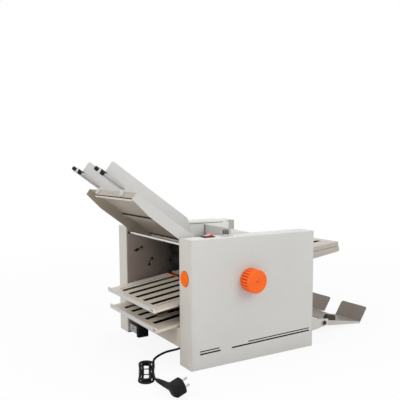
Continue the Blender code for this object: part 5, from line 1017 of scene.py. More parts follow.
@dataclass(frozen=True)
class Screw:
    """A small pan-head screw with a cross recess; its shapes are shares of its radius and height."""

    scale: float = 1.0
    head_radius: float = 0.0026
    head_height: float = 0.0011
    profile: Rings = ((0.92, -0.3), (1.0, 0.0), (0.97, 0.45), (0.78, 0.86), (0.45, 1.0), (0.30, 1.0))
    recess: float = 0.1
    recess_inset: float = 0.05
    recess_depth: float = 0.6
    recess_taper: float = 0.55
    cross: Place = (1.25, 0.22, 0.05)
    cross_height: float = 0.985
    cross_turns: tuple[float, float] = (20, 110)

    def make(self, name: str, place: Matrix) -> Piece:
        """Model the screw where it is driven in.

        Args:
            name: the piece's name.
            place: where its head sits, and how it is turned.

        Returns:
            The piece.
        """
        radius, height = self.head_radius * self.scale, self.head_height * self.scale
        rings = [(radius * across, height * up) for across, up in self.profile]
        reach = radius * self.recess
        head = Bench.turned(name, rings)
        with Bench.editing(head):
            Bench.pick(head, lambda f: f.normal.z > LEVEL and f.calc_center_median().xy.length < reach)
            bpy.ops.mesh.inset(thickness=radius * self.recess_inset, depth=0)
            Bench.drawn_out(0, 0, -height * self.recess_depth)
            bpy.ops.transform.resize(value=(self.recess_taper, self.recess_taper, 1))
        head.data.materials.append(ZINC.material())
        slots = []
        # Thin dark bars across the head paint the shade in the cross recess
        for turn in self.cross_turns:
            size = (radius * self.cross[0], radius * self.cross[1], height * self.cross[2])
            lift = Matrix.Translation((0, 0, height * self.cross_height))
            slots.append(Bench.block(f"{name}_slot", size, spun(turn, "Z") @ lift))
            slots[-1].data.materials.append(SHADOW_GAP.material())
        return Bench.settle(Bench.fused(name, [head, *slots]), place)


def driven(
    name: str, places: Sequence[Sequence[float]], way: Axis | Vector, body: str, scale: float = 1.0
) -> None:
    """Drive a row of screws into one face.

    Args:
        name: the row's name.
        places: where the heads sit.
        way: which way they face.
        body: the CAD body that they move with.
        scale: size, as a share of the usual one.
    """
    first = Screw(scale).make(f"{name}_1", standing((0, 0, 0), way))
    screws = [first, *(in_scene(f"{name}_{n}", first.data.copy()) for n in range(2, len(places) + 1))]
    for screw, place in zip(screws, places):
        screw.data.transform(Matrix.Translation(place))
        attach(screw, body)
    LOG.info("%d screws %s on %s", len(places), name, body)


@dataclass
class SideHousing:
    """Small fittings of the two covers, and the strip that closes the bay over the left panel."""

    vent_screw: Place = (0.204, NEAR_FACE, 0.0496)
    vent_screw_scale: float = 0.8
    top_screw_x: tuple[float, ...] = (-0.196, 0.0, 0.196)
    end_screw_y: tuple[float, ...] = (-0.209, 0.209)
    end_screw_z: tuple[float, ...] = (0.30, 0.19)
    end_screw_scale: float = 0.9
    foot_screw: Place = (-0.2049, 0.146, 0.020)
    foot_screw_head: Stud = Stud(0.0026, 0.0008, 0.0018, 0.0012, 20)
    strip_folds: Rings = ((-0.1962, 0.1010), (-0.2082, 0.1010), (-0.2082, 0.0878))
    strip_gap: float = 0.001
    sheet: float = 0.0012
    vents: tuple[tuple[float, float, float, float], ...] = (
        (0.0588, 0.2136, 0.1180, 0.00914),
        (0.0590, 0.2043, 0.1406, 0.00571),
        (0.3017, 0.9669, 0.1240, 0.00914),
        (0.4336, 0.9629, 0.1497, 0.00571),
    )
    vent_rise: float = 0.0207
    # The dark bars in the vent slits, which paint the shade behind them
    shade_bar_overlap: float = 0.0005
    shade_bar_depth: float = 0.0010
    shade_bar_proud: float = 0.0001
    shade_bar_slits: int = 3
    cap_place: Place = (LEFT_X, -0.2033, 0.2435)
    cap_shadow_ring: Stud = Stud(0.0219, 0.00015, 0.0199, 0.00015, 48)
    bolts: tuple[tuple[str, float, float, float], ...] = (
        ("upper_low", -0.1772, 0.2714, 0.0048),
        ("upper_high", -0.1584, 0.2792, 0.0040),
        ("lower_high", -0.1211, 0.2394, 0.0042),
        ("lower_low", -0.1317, 0.2195, 0.0036),
        ("inner", -0.0547, 0.2277, 0.0052),
        ("rod_end", -0.2016, 0.3295, 0.0042),
    )
    bolt_profile: Rings = ((1.0, 0.0), (1.0, 0.002), (0.85, 0.0028), (0.45, 0.0028), (0.40, 0.0014))
    washers: tuple[tuple[str, float, float], ...] = (("upper", -0.1600, 0.2738), ("lower", -0.1224, 0.2330))
    washer: Stud = Stud(0.0030, 0.0012, 0.0022, 0.0016, 20)

    def on_far_frame(self, x: float, z: float) -> Matrix:
        """A place on the far frame's inner face."""
        return standing((x, BAY_HALF - SEAT, z), Axis.TO_OPERATOR)

    def frame_bolts(self) -> None:
        """Model the clamp bolts on the far frame: each has its place in X and Z and its radius."""
        for label, x, z, radius in self.bolts:
            rings = [(radius * share, height) for share, height in self.bolt_profile]
            bolt = Bench.turned(f"frame_bolt_{label}", rings, self.on_far_frame(x, z))
            dressed(bolt, DARK_STEEL)
        for label, x, z in self.washers:
            washer = self.washer.make(f"frame_washer_{label}", self.on_far_frame(x, z))
            dressed(washer, ZINC)

    def vent_shade_bars(self) -> None:
        """Fill each vent slit with a dark bar, which stands for the shade behind it.

        A slit's start and end are shares of the housing's length, its foot and its width of the height.
        """
        for number, (start, end, low, width) in enumerate(self.vents, 1):
            run = (end - start) * (RIGHT_X - LEFT_X)
            size = (run, self.shade_bar_depth, HOUSING_TOP * width + 2 * self.shade_bar_overlap)
            x = LEFT_X + (start + end) / 2 * (RIGHT_X - LEFT_X)
            y = NEAR_FACE - self.shade_bar_proud + self.shade_bar_depth / 2
            z = HOUSING_TOP * low - self.shade_bar_overlap + run / 2 * self.vent_rise
            place = Matrix.Translation((x, y, z)) @ Matrix.Rotation(-math.atan(self.vent_rise), 4, "Y")
            bar = Bench.block(f"vent_lining_{number}", size, place, FINE_BEVEL, self.shade_bar_slits)
            dressed(bar, SHADE_AND_CLIP_BLACK)

    def build(self) -> None:
        """Model and dress the fittings."""
        self.frame_bolts()
        driven("vent_screw", [self.vent_screw], Axis.TO_OPERATOR, "frame", self.vent_screw_scale)
        driven("top_screw", [(x, -CONTROLS_Y, HOUSING_TOP) for x in self.top_screw_x], Axis.UP, "frame")
        screw = self.foot_screw_head.make("foot_bracket_screw", standing(self.foot_screw, Axis.LEFT))
        dressed(screw, DARK_STEEL)
        ends = [(RIGHT_X, y, z) for y in self.end_screw_y for z in self.end_screw_z]
        driven("end_screw", ends, Axis.RIGHT, "frame", self.end_screw_scale)
        self.vent_shade_bars()
        # A dark brown ring round the side plug's disc, as painted shadow
        seam = self.cap_shadow_ring.make("side_cap_seam", standing(self.cap_place, Axis.LEFT))
        dressed(seam, PAD_AND_SHADE_BROWN)
        half = BAY_HALF - self.strip_gap
        strip = Bench.folded("panel_top_strip", self.strip_folds, -half, half, self.sheet)
        dressed(strip, PANEL_COAT)


@dataclass
class Controls:
    """The switch's marks, and the speed control's dial and knob."""

    pivot: Place = (-0.136, CONTROLS_Y, 0.349)
    rocker_tilt: float = math.radians(12)
    rocker_rise: float = 0.00776
    rocker_dip: float = 0.00146
    rocker_reach: float = 0.0105
    mark_share: float = 0.52
    mark_radius: float = 0.0022
    mark_bore: float = 0.72
    dash_size: Span = (0.0007, 0.0036)
    knob_foot: Place = (-0.078, CONTROLS_Y, HOUSING_TOP)
    knob_sides: int = 72
    skirt: Rings = (
        (0.0116, 0.0004), (0.0120, 0.0008), (0.0120, 0.0020), (0.0108, 0.0030), (0.0092, 0.0034),
        (0.0090, 0.0042),
    )
    grip: Rings = ((0.0088, 0.0040), (0.0084, 0.0163), (0.0078, 0.0171), (0.0070, 0.0171))
    cap: Rings = ((0.0069, 0.0166), (0.0069, 0.0172), (0.0065, 0.0175), (0.0028, 0.0173))
    flute_depth: float = 0.00035
    flute_border: float = 0.00012
    pointer_size: Place = (0.0007, 0.0026, 0.0008)
    pointer_place: Place = (0, -0.0104, 0.0026)
    pointer_turn: float = -135
    ticks: int = 20
    tick_inner: float = 0.0140
    tick_long: float = 0.0026
    tick_short: float = 0.0016
    tick_width: float = 0.00032
    numbers: int = 10
    number_radius: float = 0.0192
    number_size: float = 0.0036
    sweep: float = math.radians(270)
    film: float = 0.00004

    def dial_place(self, share: float, radius: float) -> Matrix:
        """Where a dial mark lies.

        Args:
            share: 0 at the dial's start, 1 at its end.
            radius: how far from the knob's axis.

        Returns:
            The placing matrix; the mark's own +Y points outwards.
        """
        centre = Matrix.Translation(Vector(self.knob_foot) + Vector((0, 0, self.film)))
        turn = Matrix.Rotation(self.sweep * (0.5 - share), 4, "Z")
        return centre @ turn @ Matrix.Translation((0, radius, 0))

    def dial(self) -> None:
        """Print the ticks and the numbers from 0 to 100."""
        ticks = []
        for step in range(self.ticks + 1):
            length = self.tick_short if step % 2 else self.tick_long
            place = self.dial_place(step / self.ticks, self.tick_inner + length / 2)
            size = (self.tick_width, length, self.film)
            ticks.append(Bench.block(f"tick_{step}", size, place, self.film / 4))
        numbers = []
        for step in range(self.numbers + 1):
            place = self.dial_place(step / self.numbers, self.number_radius)
            words = str(step * 100 // self.numbers)
            numbers.append(Bench.lettered(f"number_{step}", words, self.number_size, place, self.film))
        for name, marks in (("speed_dial_ticks", ticks), ("speed_dial_numbers", numbers)):
            dressed(Bench.fused(name, marks), BLACK_INK)

    def knob(self) -> None:
        """Model the knob: satin skirt, fluted grip, spun cap and pointer; it replaces the CAD knob."""
        foot = Matrix.Translation(self.knob_foot)
        skirt = Bench.turned("speed_knob_skirt", self.skirt, foot, sides=64)
        dressed(skirt, SATIN_SKIRT, "speed_control")
        grip = Bench.turned("speed_knob_grip", self.grip, sides=self.knob_sides)
        Bench.fluted(grip, self.knob_sides, -self.flute_depth, self.flute_border)
        Bench.settle(Bench.shaded(grip), foot)
        dressed(grip, GREY_CAP, "speed_control")
        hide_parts("speed_knob")
        cap = Bench.turned("speed_knob_cap", self.cap, foot, sides=48)
        dressed(cap, GREY_CAP, "speed_control")
        place = foot @ spun(self.pointer_turn, "Z") @ Matrix.Translation(self.pointer_place)
        pointer = Bench.block("speed_knob_pointer", self.pointer_size, place)
        dressed(pointer, BLACK_INK, "speed_control")

    def rocker_place(self, side: int) -> Matrix:
        """Where a mark lies on the rocker's sloping top.

        Args:
            side: -1 for left and 1 for right.

        Returns:
            The placing matrix.
        """
        slope = math.atan2(self.rocker_dip, self.rocker_reach) * side
        z = self.rocker_rise - self.rocker_dip * (1 - self.mark_share) + self.film * 2
        mark = Matrix.Translation((side * self.rocker_reach * self.mark_share, 0, z))
        tilt = Matrix.Rotation(-self.rocker_tilt, 4, "Y")
        return Matrix.Translation(self.pivot) @ tilt @ mark @ Matrix.Rotation(-slope, 4, "Y")

    def marks(self) -> None:
        """Print the round mark and the dash on the rocker."""
        rings = [(self.mark_radius, 0.0), (self.mark_radius, self.film)]
        bore = self.mark_radius * self.mark_bore
        ring = Bench.hollow("rocker_round_mark", rings, bore, self.rocker_place(-1))
        dressed(ring, WHITE_INK, "rocker_switch")
        size = (*self.dash_size, self.film)
        dash = Bench.block("rocker_dash_mark", size, self.rocker_place(1), self.film / 4)
        dressed(dash, WHITE_INK, "rocker_switch")

    def build(self) -> None:
        """Model and dress the controls."""
        self.dial()
        self.knob()
        self.marks()


@dataclass(frozen=True)
class StopRing:
    """One ring of an end stop: its finish, slot and profile, by radius and distance from the tip."""

    label: str
    finish: Finish
    slot: str
    rings: Rings


@dataclass
class FeedTable:
    """What is fixed under and at the end of the sloping tray, and on the side guides."""

    strip_x: float = -0.120
    cad_strip_x: float = -0.2157
    strip_length: float = 0.016
    strip_drop: float = 0.004
    strip_bevel: float = 0.0004
    # The strips' faces take a lighter copy of the paint, painted light; dark strips beside them paint the
    # shadow
    face_border: float = 0.001
    face_sheet: float = 0.0004
    seam: float = 0.0022
    half_width: float = 0.1685
    sheet: float = 0.0015
    lip_far: float = 0.100
    lip_bars: tuple[tuple[str, Finish, str, Span, Span, float], ...] = (
        ("seam", SHADOW_GAP, "", (0.0012, 0.0024), (-0.0004, -0.0200), 0.0002),
        ("face", LIT_TRAY_COAT, "body_paint", (0.0092, 0.0004), (0.0042, -0.0206), FINE_BEVEL),
    )
    guides: tuple[tuple[str, float], ...] = (("near", -0.088), ("far", 0.090))
    rod_offset: float = 0.010
    rod_height: float = 0.0055
    rod_start: float = 0.004
    rod_reach: float = 0.085
    rod: Stud = Stud(0.00412, 0.0790, 0.002884, 0.0802, 24)
    hook_screw: Place = (-0.0036, -0.006, -0.008)
    hook_screw_scale: float = 1.2
    stop_bore: float = 0.0043
    stop_rings: tuple[StopRing, ...] = (
        StopRing("tip", BLACK_PLASTIC, "black_plastic", (
            (0.0048, 0.0010), (0.0056, 0.0016), (0.0058, 0.0062), (0.0058, 0.0098), (0.0050, 0.0106))),
        StopRing("clamp", WING_COAT, "guide_paint", (
            (0.0050, 0.0106), (0.0066, 0.0110), (0.0066, 0.0164), (0.0052, 0.0170))),
        StopRing("sleeve", BLACK_PLASTIC, "black_plastic", (
            (0.0050, 0.0170), (0.0062, 0.0176), (0.0062, 0.0292), (0.0054, 0.0300))),
        StopRing("ring", ZINC, "bright_steel", (
            (0.0048, 0.0318), (0.0056, 0.0322), (0.0056, 0.0336), (0.0048, 0.0340))),
    )
    wings: tuple[tuple[str, Place, float], ...] = (
        ("wing", (0.0060, 0.0026, 0.0054), 128),
        ("lever", (0.0050, 0.0024, 0.0046), 40),
    )
    wing_along: float = 0.0137
    wing_gap: float = 0.0003
    wing_bevel: float = 0.0008
    tongue_size: Place = (0.0240, 0.0040, 0.0016)
    tongue_along: float = 0.0250
    tongue_lift: float = 0.0058
    tongue_bevel: float = 0.0004

    def off_tray(self, x: float, y: float, lift: float) -> Vector:
        """A point over the tray's sloping sheet at x and y."""
        return Vector((x, y, TRAY_ORIGIN_Z - TRAY_SLOPE * x)) + OFF_SLOPE * lift

    def on_slope(self, x: float, y: float, lift: float) -> Matrix:
        """A place on the tray's slope: own +X runs down the slope and own +Z stands off it."""
        return Matrix.Translation(self.off_tray(x, y, lift)) @ SLOPE_TURN

    def strips(self) -> None:
        """Model the cross strip under the tray; give both strips a painted-light face and a painted shadow.
        """
        width, under = 2 * self.half_width, -self.sheet - self.strip_drop
        size = (self.strip_length, width, self.strip_drop)
        strip = Bench.block("tray_strip_1", size, self.on_slope(self.strip_x, 0, under), self.strip_bevel)
        dressed(strip, TRAY_COAT)
        for number, x in enumerate((self.strip_x, self.cad_strip_x), 1):
            size = (self.strip_length - self.face_border, width, self.face_sheet)
            place = self.on_slope(x, 0, under - self.face_sheet)
            face = Bench.block(f"tray_strip_face_{number}", size, place, FINE_BEVEL)
            dressed(face, LIT_TRAY_COAT)
            edge = x - (self.strip_length / 2 + self.seam / 2) * math.cos(TRAY_ANGLE)
            size = (self.seam, width, self.strip_drop)
            seam = Bench.block(f"strip_seam_{number}", size, self.on_slope(edge, 0, under), FINE_BEVEL)
            dressed(seam, SHADOW_GAP)

    def guide_fittings(self) -> None:
        """Model each guide's bright rod, hook screw, and its end stop's clamp."""
        turn = spun(-90, "Y")
        for side, y in self.guides:
            rod_y = y - self.rod_offset
            start = self.on_slope(TRAY_TIP_X - self.rod_start, rod_y, self.rod_height)
            rod = self.rod.make(f"{side}_guide_rod", start @ turn)
            dressed(rod, PIN_STEEL, f"{side}_guide")
            ahead, across, lift = self.hook_screw
            hook = self.on_slope(TRAY_TIP_X + ahead, y + across, lift)
            screw = Screw(self.hook_screw_scale).make(f"{side}_hook_screw", hook @ turn)
            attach(screw, f"{side}_guide")
            self.stop_fittings(side, rod_y)

    def stop_fittings(self, side: str, rod_y: float) -> None:
        """Model an end stop: black tip, pale clamp with two wings, black sleeve, and steel tongue.

        Args:
            side: near or far.
            rod_y: the rod's place across the tray.
        """
        body = f"{side}_stop"
        base = self.off_tray(TRAY_TIP_X - self.rod_reach, rod_y, self.rod_height)
        for part in self.stop_rings:
            place = Matrix.Translation(base) @ SLOPE_TURN @ spun(90, "Y")
            piece = Bench.hollow(f"{side}_stop_{part.label}", part.rings, self.stop_bore, place)
            dressed(piece, part.finish, body)
            if part.label == "clamp":
                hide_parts(f"{side}_end_stop")
        middle = Matrix.Translation(base + DOWN_SLOPE * self.wing_along) @ SLOPE_TURN
        outward = Matrix.Translation((0, 0, self.stop_bore + self.wing_gap))
        for number, way in enumerate((-1, 1), 1):
            for label, size, tilt in self.wings:
                place = middle @ spun(-way * tilt, "X") @ outward
                wing = Bench.block(f"{side}_stop_{label}_{number}", size, place, self.wing_bevel)
                dressed(wing, WING_COAT, body)
        root = Matrix.Translation(base + DOWN_SLOPE * self.tongue_along + OFF_SLOPE * self.tongue_lift)
        tongue = Bench.block(f"{side}_stop_tongue", self.tongue_size, root @ SLOPE_TURN, self.tongue_bevel)
        dressed(tongue, DARK_STEEL, body)

    def lip(self) -> None:
        """Model the dark strip of painted shadow and the face of painted light on the tray's end lip.

        Each bar has its length and height, its place from the tray's tip and off its slope, and a bevel.
        """
        middle, width = (self.lip_far - self.half_width) / 2, self.lip_far + self.half_width
        for label, finish, slot, (length, height), (ahead, lift), bevel in self.lip_bars:
            place = self.on_slope(TRAY_TIP_X + ahead, middle, lift)
            bar = Bench.block(f"tray_lip_{label}", (length, width, height), place, bevel)
            dressed(bar, finish)

    def build(self) -> None:
        """Model and dress the table's fittings."""
        self.strips()
        self.guide_fittings()
        self.lip()


@dataclass
class FeedHead:
    """Strips of painted shadow on the hood's sides, and the sloping top cover's screws."""

    shadow_line_size: Place = (0.140, 0.0004, 0.0014)
    shadow_line_x: float = -0.048
    shadow_line_z: float = 0.3689
    hood_half: float = 0.036
    cover_rows: Rings = ((0.120, 0.3272), (0.190, 0.3100))
    cover_screw_y: tuple[float, ...] = (-0.158, 0.158)
    cover_normal: Place = (0.2371, 0, 0.9715)

    def build(self) -> None:
        """Model and dress the painted shadow strips and the screws."""
        for side, label in ((-1, "near"), (1, "far")):
            place = Matrix.Translation((self.shadow_line_x, side * (self.hood_half + SEAT), self.shadow_line_z))
            seam = Bench.block(f"hood_seam_{label}", self.shadow_line_size, place, FINE_BEVEL)
            dressed(seam, SHADOW_GAP)
        places = [(x, y, z) for x, z in self.cover_rows for y in self.cover_screw_y]
        driven("top_cover_screw", places, Vector(self.cover_normal), "frame")


@dataclass(frozen=True)
class PlatePlace:
    """Where a fold plate's top starts, how it tilts, which way it points and its slots' reach."""

    x: float
    z: float
    tilt: float
    points_left: bool
    length: float
    slots: Span

    def matrix(self, along: float, y: float, lift: float) -> Matrix:
        """A place on the plate's top: own +X runs out along it and own +Z stands off it."""
        turn = spun(180, "Z") @ spun(self.tilt, "Y") if self.points_left else spun(-self.tilt, "Y")
        return Matrix.Translation((self.x, y, self.z)) @ turn @ Matrix.Translation((along, 0, lift))


PLATES = {
    "upper_left": PlatePlace(-0.003, 0.1957, 8, True, 0.282, (0.026, 0.258)),
    "lower_left": PlatePlace(0.045, 0.1464, 8, True, 0.324, (0.024, 0.300)),
    "upper_right": PlatePlace(0.002, 0.2588, 5.46, False, 0.387, (0.024, 0.363)),
    "lower_right": PlatePlace(0.055, 0.2235, 8, False, 0.340, (0.024, 0.316)),
}


@dataclass
class FoldSection:
    """Rulers, screws, painted shade in the slots, and edge clips of the four fold plates."""

    ruler_y: tuple[float, ...] = (-0.1250, 0.1250)
    ruler_start: float = 0.070
    ruler_width: float = 0.0105
    tape: float = 0.00008
    tick_count: int = 31
    tick_pitch: float = 0.0060
    tick_size: Place = (0.0030, 0.0082, 0.00006)
    tick_lift: float = 0.00007
    shade_sheet_half: float = 0.1125
    shade_sheet_overlap: float = 0.004
    shade_sheet_thickness: float = 0.0001
    shade_sheet_slits: int = 3
    slot_y: tuple[float, ...] = (-0.100, -0.050, 0.0, 0.050, 0.100)
    slot_half: float = 0.0095
    slot_edge_shade: float = 0.0004
    top_sheet: float = 0.0015
    shade_sheet_drop: float = 0.00545
    lip_high: float = 0.006
    lip_low: float = 0.0069
    lip_border: float = 0.0006
    lip_sheet: float = 0.0004
    lip_slits: int = 5
    lip_screw: Stud = Stud(0.0019, 0.0008, 0.0013, 0.0012, 16)
    lip_screw_y: tuple[float, ...] = (-0.1555, -0.1465)
    lip_screw_place: Span = (0.0003, 0.0005)
    clip_parts: tuple[tuple[str, Finish, float, float, float, float], ...] = (
        ("clip", SHADE_AND_CLIP_BLACK, 0.2510, 0.031, 0.0072, 0.0145),
        ("pad", PAD_AND_SHADE_BROWN, 0.2545, 0.026, 0.0146, 0.0215),
    )
    clip_width: float = 0.010
    clip_inset: float = 0.0052
    clip_bevel: float = 0.0006
    strip_place: Place = (0.0733, 0.113, 0.0006)
    strip_size: Place = (0.0012, 0.060, 0.0036)
    strip_bevel: float = 0.0002

    def rulers(self) -> None:
        """Model the scales on the upper left plate: a tape, and its ticks by an array."""
        plate, run = PLATES["upper_left"], self.tick_pitch * self.tick_count
        for y in self.ruler_y:
            name = f"upper_left_scale_{'near' if y < 0 else 'far'}"
            place = plate.matrix(self.ruler_start + run / 2, y, 0)
            tape = Bench.block(f"{name}_tape", (run, self.ruler_width, self.tape), place, HAIR_BEVEL)
            dressed(tape, SCALE_WHITE)
            ticks = Bench.block(f"{name}_ticks", self.tick_size, ORIGIN, HAIR_BEVEL)
            Bench.apply(
                ticks, "ARRAY", count=self.tick_count, use_relative_offset=False, use_constant_offset=True,
                constant_offset_displace=(self.tick_pitch, 0, 0),
            )
            Bench.settle(ticks, plate.matrix(self.ruler_start + self.tick_pitch / 2, y, self.tick_lift))
            dressed(ticks, SCALE_INK)

    def slot_shades(self) -> None:
        """Paint the slots' shade: a dark sheet at the bottom of each plate's paper gap, dark strips on far
        edges.
        """
        for label, plate in PLATES.items():
            start, end = plate.slots
            middle = (start + end) / 2
            size = (end - start + self.shade_sheet_overlap, 2 * self.shade_sheet_half, self.shade_sheet_thickness)
            place = plate.matrix(middle, 0, -self.shade_sheet_drop)
            shade_sheet = Bench.block(f"{label}_slot_liner", size, place, HAIR_BEVEL, self.shade_sheet_slits)
            dressed(shade_sheet, SHADE_AND_CLIP_BLACK)
            size = (end - start, self.slot_edge_shade, self.top_sheet - SEAT)
            edges = []
            for y in self.slot_y:
                place = plate.matrix(middle, y + self.slot_half - SEAT, -self.top_sheet)
                edges.append(Bench.block(f"{label}_slot_edge", size, place, HAIR_BEVEL))
            dressed(Bench.fused(f"{label}_slot_edges", edges), SHADE_AND_CLIP_BLACK)

    def lips(self) -> None:
        """Face the left plates' end lips, and drive their dark screws."""
        turn = spun(90, "Y")
        height, width = self.lip_high + self.lip_low, 2 * PLATE_HALF
        size = (height - self.lip_border, width - self.lip_border, self.lip_sheet)
        ahead, lift = self.lip_screw_place
        for label in ("upper_left", "lower_left"):
            plate = PLATES[label]
            place = plate.matrix(plate.length, 0, (self.lip_high - self.lip_low) / 2) @ turn
            face = Bench.block(f"{label}_lip_face", size, place, FINE_BEVEL, self.lip_slits)
            dressed(face, LIP_COAT)
            for number, y in enumerate(self.lip_screw_y, 1):
                place = plate.matrix(plate.length + ahead, y, lift) @ turn
                screw = self.lip_screw.make(f"{label}_lip_screw_{number}", place)
                dressed(screw, DARK_STEEL)

    def clips(self) -> None:
        """Model the dark clip and its brown pad under the upper left plate's near edge.

        Each has its place along the plate, its length, and how far its top and its foot hang under it.
        """
        for label, finish, along, length, top, foot in self.clip_parts:
            place = PLATES["upper_left"].matrix(along, -PLATE_HALF + self.clip_inset, -foot)
            size = (length, self.clip_width, foot - top)
            dressed(Bench.block(f"edge_{label}", size, place, self.clip_bevel), finish)

    def bar_strip(self) -> None:
        """Model the orange strip on the upper left stop's bar."""
        place = PLATES["upper_left"].matrix(*self.strip_place)
        strip = Bench.block("stop_bar_strip", self.strip_size, place, self.strip_bevel)
        dressed(strip, ORANGE, "upper_left_stop_bar")

    def build(self) -> None:
        """Model and dress the fold plates' small pieces."""
        self.rulers()
        self.slot_shades()
        self.lips()
        self.clips()
        self.bar_strip()


@dataclass
class HandKnob:
    """The ribbed orange knob on the main roller's shaft; it replaces the CAD knob."""

    back: Place = (-0.0237, -0.2410, 0.2282)
    radius: float = 0.0331
    wall_end: float = 0.0321
    profile: Rings = (
        (0.01986, 0.0), (0.0325, 0.0), (0.0331, 0.0008), (0.0331, 0.0321), (0.0304, 0.0355),
        (0.0296, 0.0359), (0.02664, 0.0356), (0.00315, 0.0353), (0.0021, 0.0350), (0.0021, 0.0299),
    )
    sides: int = 72
    wall_share: float = 0.9
    rib_depth: float = 0.0027
    bevel: float = 0.00035
    sharp: float = 30
    groove_floor: float = 0.85
    groove_top: float = 0.6
    most_turned_out: float = 0.3
    screw: Rings = ((0.0019, 0.0), (0.0019, 0.0022), (0.0009, 0.0022), (0.0009, 0.001))
    screw_drop: float = 0.0301

    def darken_grooves(self, knob: Piece) -> None:
        """Paint the walls and floors of the grooves a darker orange, as painted shade.

        Args:
            knob: the knob in its place.
        """
        knob.data.materials.append(GROOVE_ORANGE.material())
        x, y, z = self.back
        low, high = self.radius * self.groove_floor, self.radius - self.rib_depth * self.groove_top
        for face in knob.data.polygons:
            off_axis = math.hypot(face.center.x - x, face.center.z - z)
            upright = abs(face.normal.y) < self.most_turned_out
            if low < off_axis < high and upright and face.center.y > y - self.wall_end:
                face.material_index = 1

    def build(self) -> None:
        """Model and dress the knob."""
        knob = Bench.turned("hand_knob_body", self.profile, sides=self.sides)
        Bench.fluted(knob, self.sides, -self.rib_depth, beyond=self.radius * self.wall_share)
        Bench.soften(knob, self.bevel, self.sharp)
        Bench.settle(knob, standing(self.back, Axis.TO_OPERATOR))
        dressed(knob, ORANGE, "main_drive")
        self.darken_grooves(knob)
        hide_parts("hand_knob")
        deep = Vector(self.back) + Vector(Axis.TO_OPERATOR.value) * self.screw_drop
        screw = Bench.turned("hand_knob_screw", self.screw, standing(deep, Axis.TO_OPERATOR), sides=16)
        dressed(screw, DARK_STEEL, "main_drive")


@dataclass
class DeliveryEnd:
    """The star nuts that hold the delivery tray, and the bracket's screws."""

    axis: Span = (0.341, 0.031)
    half: float = 0.1533
    radius: float = 0.0075
    depth: float = 0.0050
    profile: Rings = ((0.62, 0.0), (0.80, 0.16), (0.80, 0.8), (0.66, 1.0), (0.40, 1.0))
    sides: int = 24
    point: float = 0.2
    bevel: float = 0.0002
    bracket_screws: tuple[Place, ...] = ((0.228, -0.1507, 0.040), (0.228, -0.1507, 0.024))
    bracket_screw_scale: float = 0.9

    def build(self) -> None:
        """Model and dress the nuts and screws; the nuts' shapes are shares of their radius and depth."""
        x, z = self.axis
        rings = [(self.radius * across, self.depth * up) for across, up in self.profile]
        for label, side, way in (("near", -1, Axis.TO_OPERATOR), ("far", 1, Axis.TO_BACK)):
            nut = Bench.turned(f"{label}_star_nut", rings, sides=self.sides)
            Bench.fluted(nut, self.sides, self.radius * self.point)
            Bench.soften(nut, self.bevel)
            Bench.settle(nut, standing((x, side * self.half, z), way))
            dressed(nut, DARK_STEEL)
        driven("bracket_screw", self.bracket_screws, Axis.TO_OPERATOR, "frame", self.bracket_screw_scale)


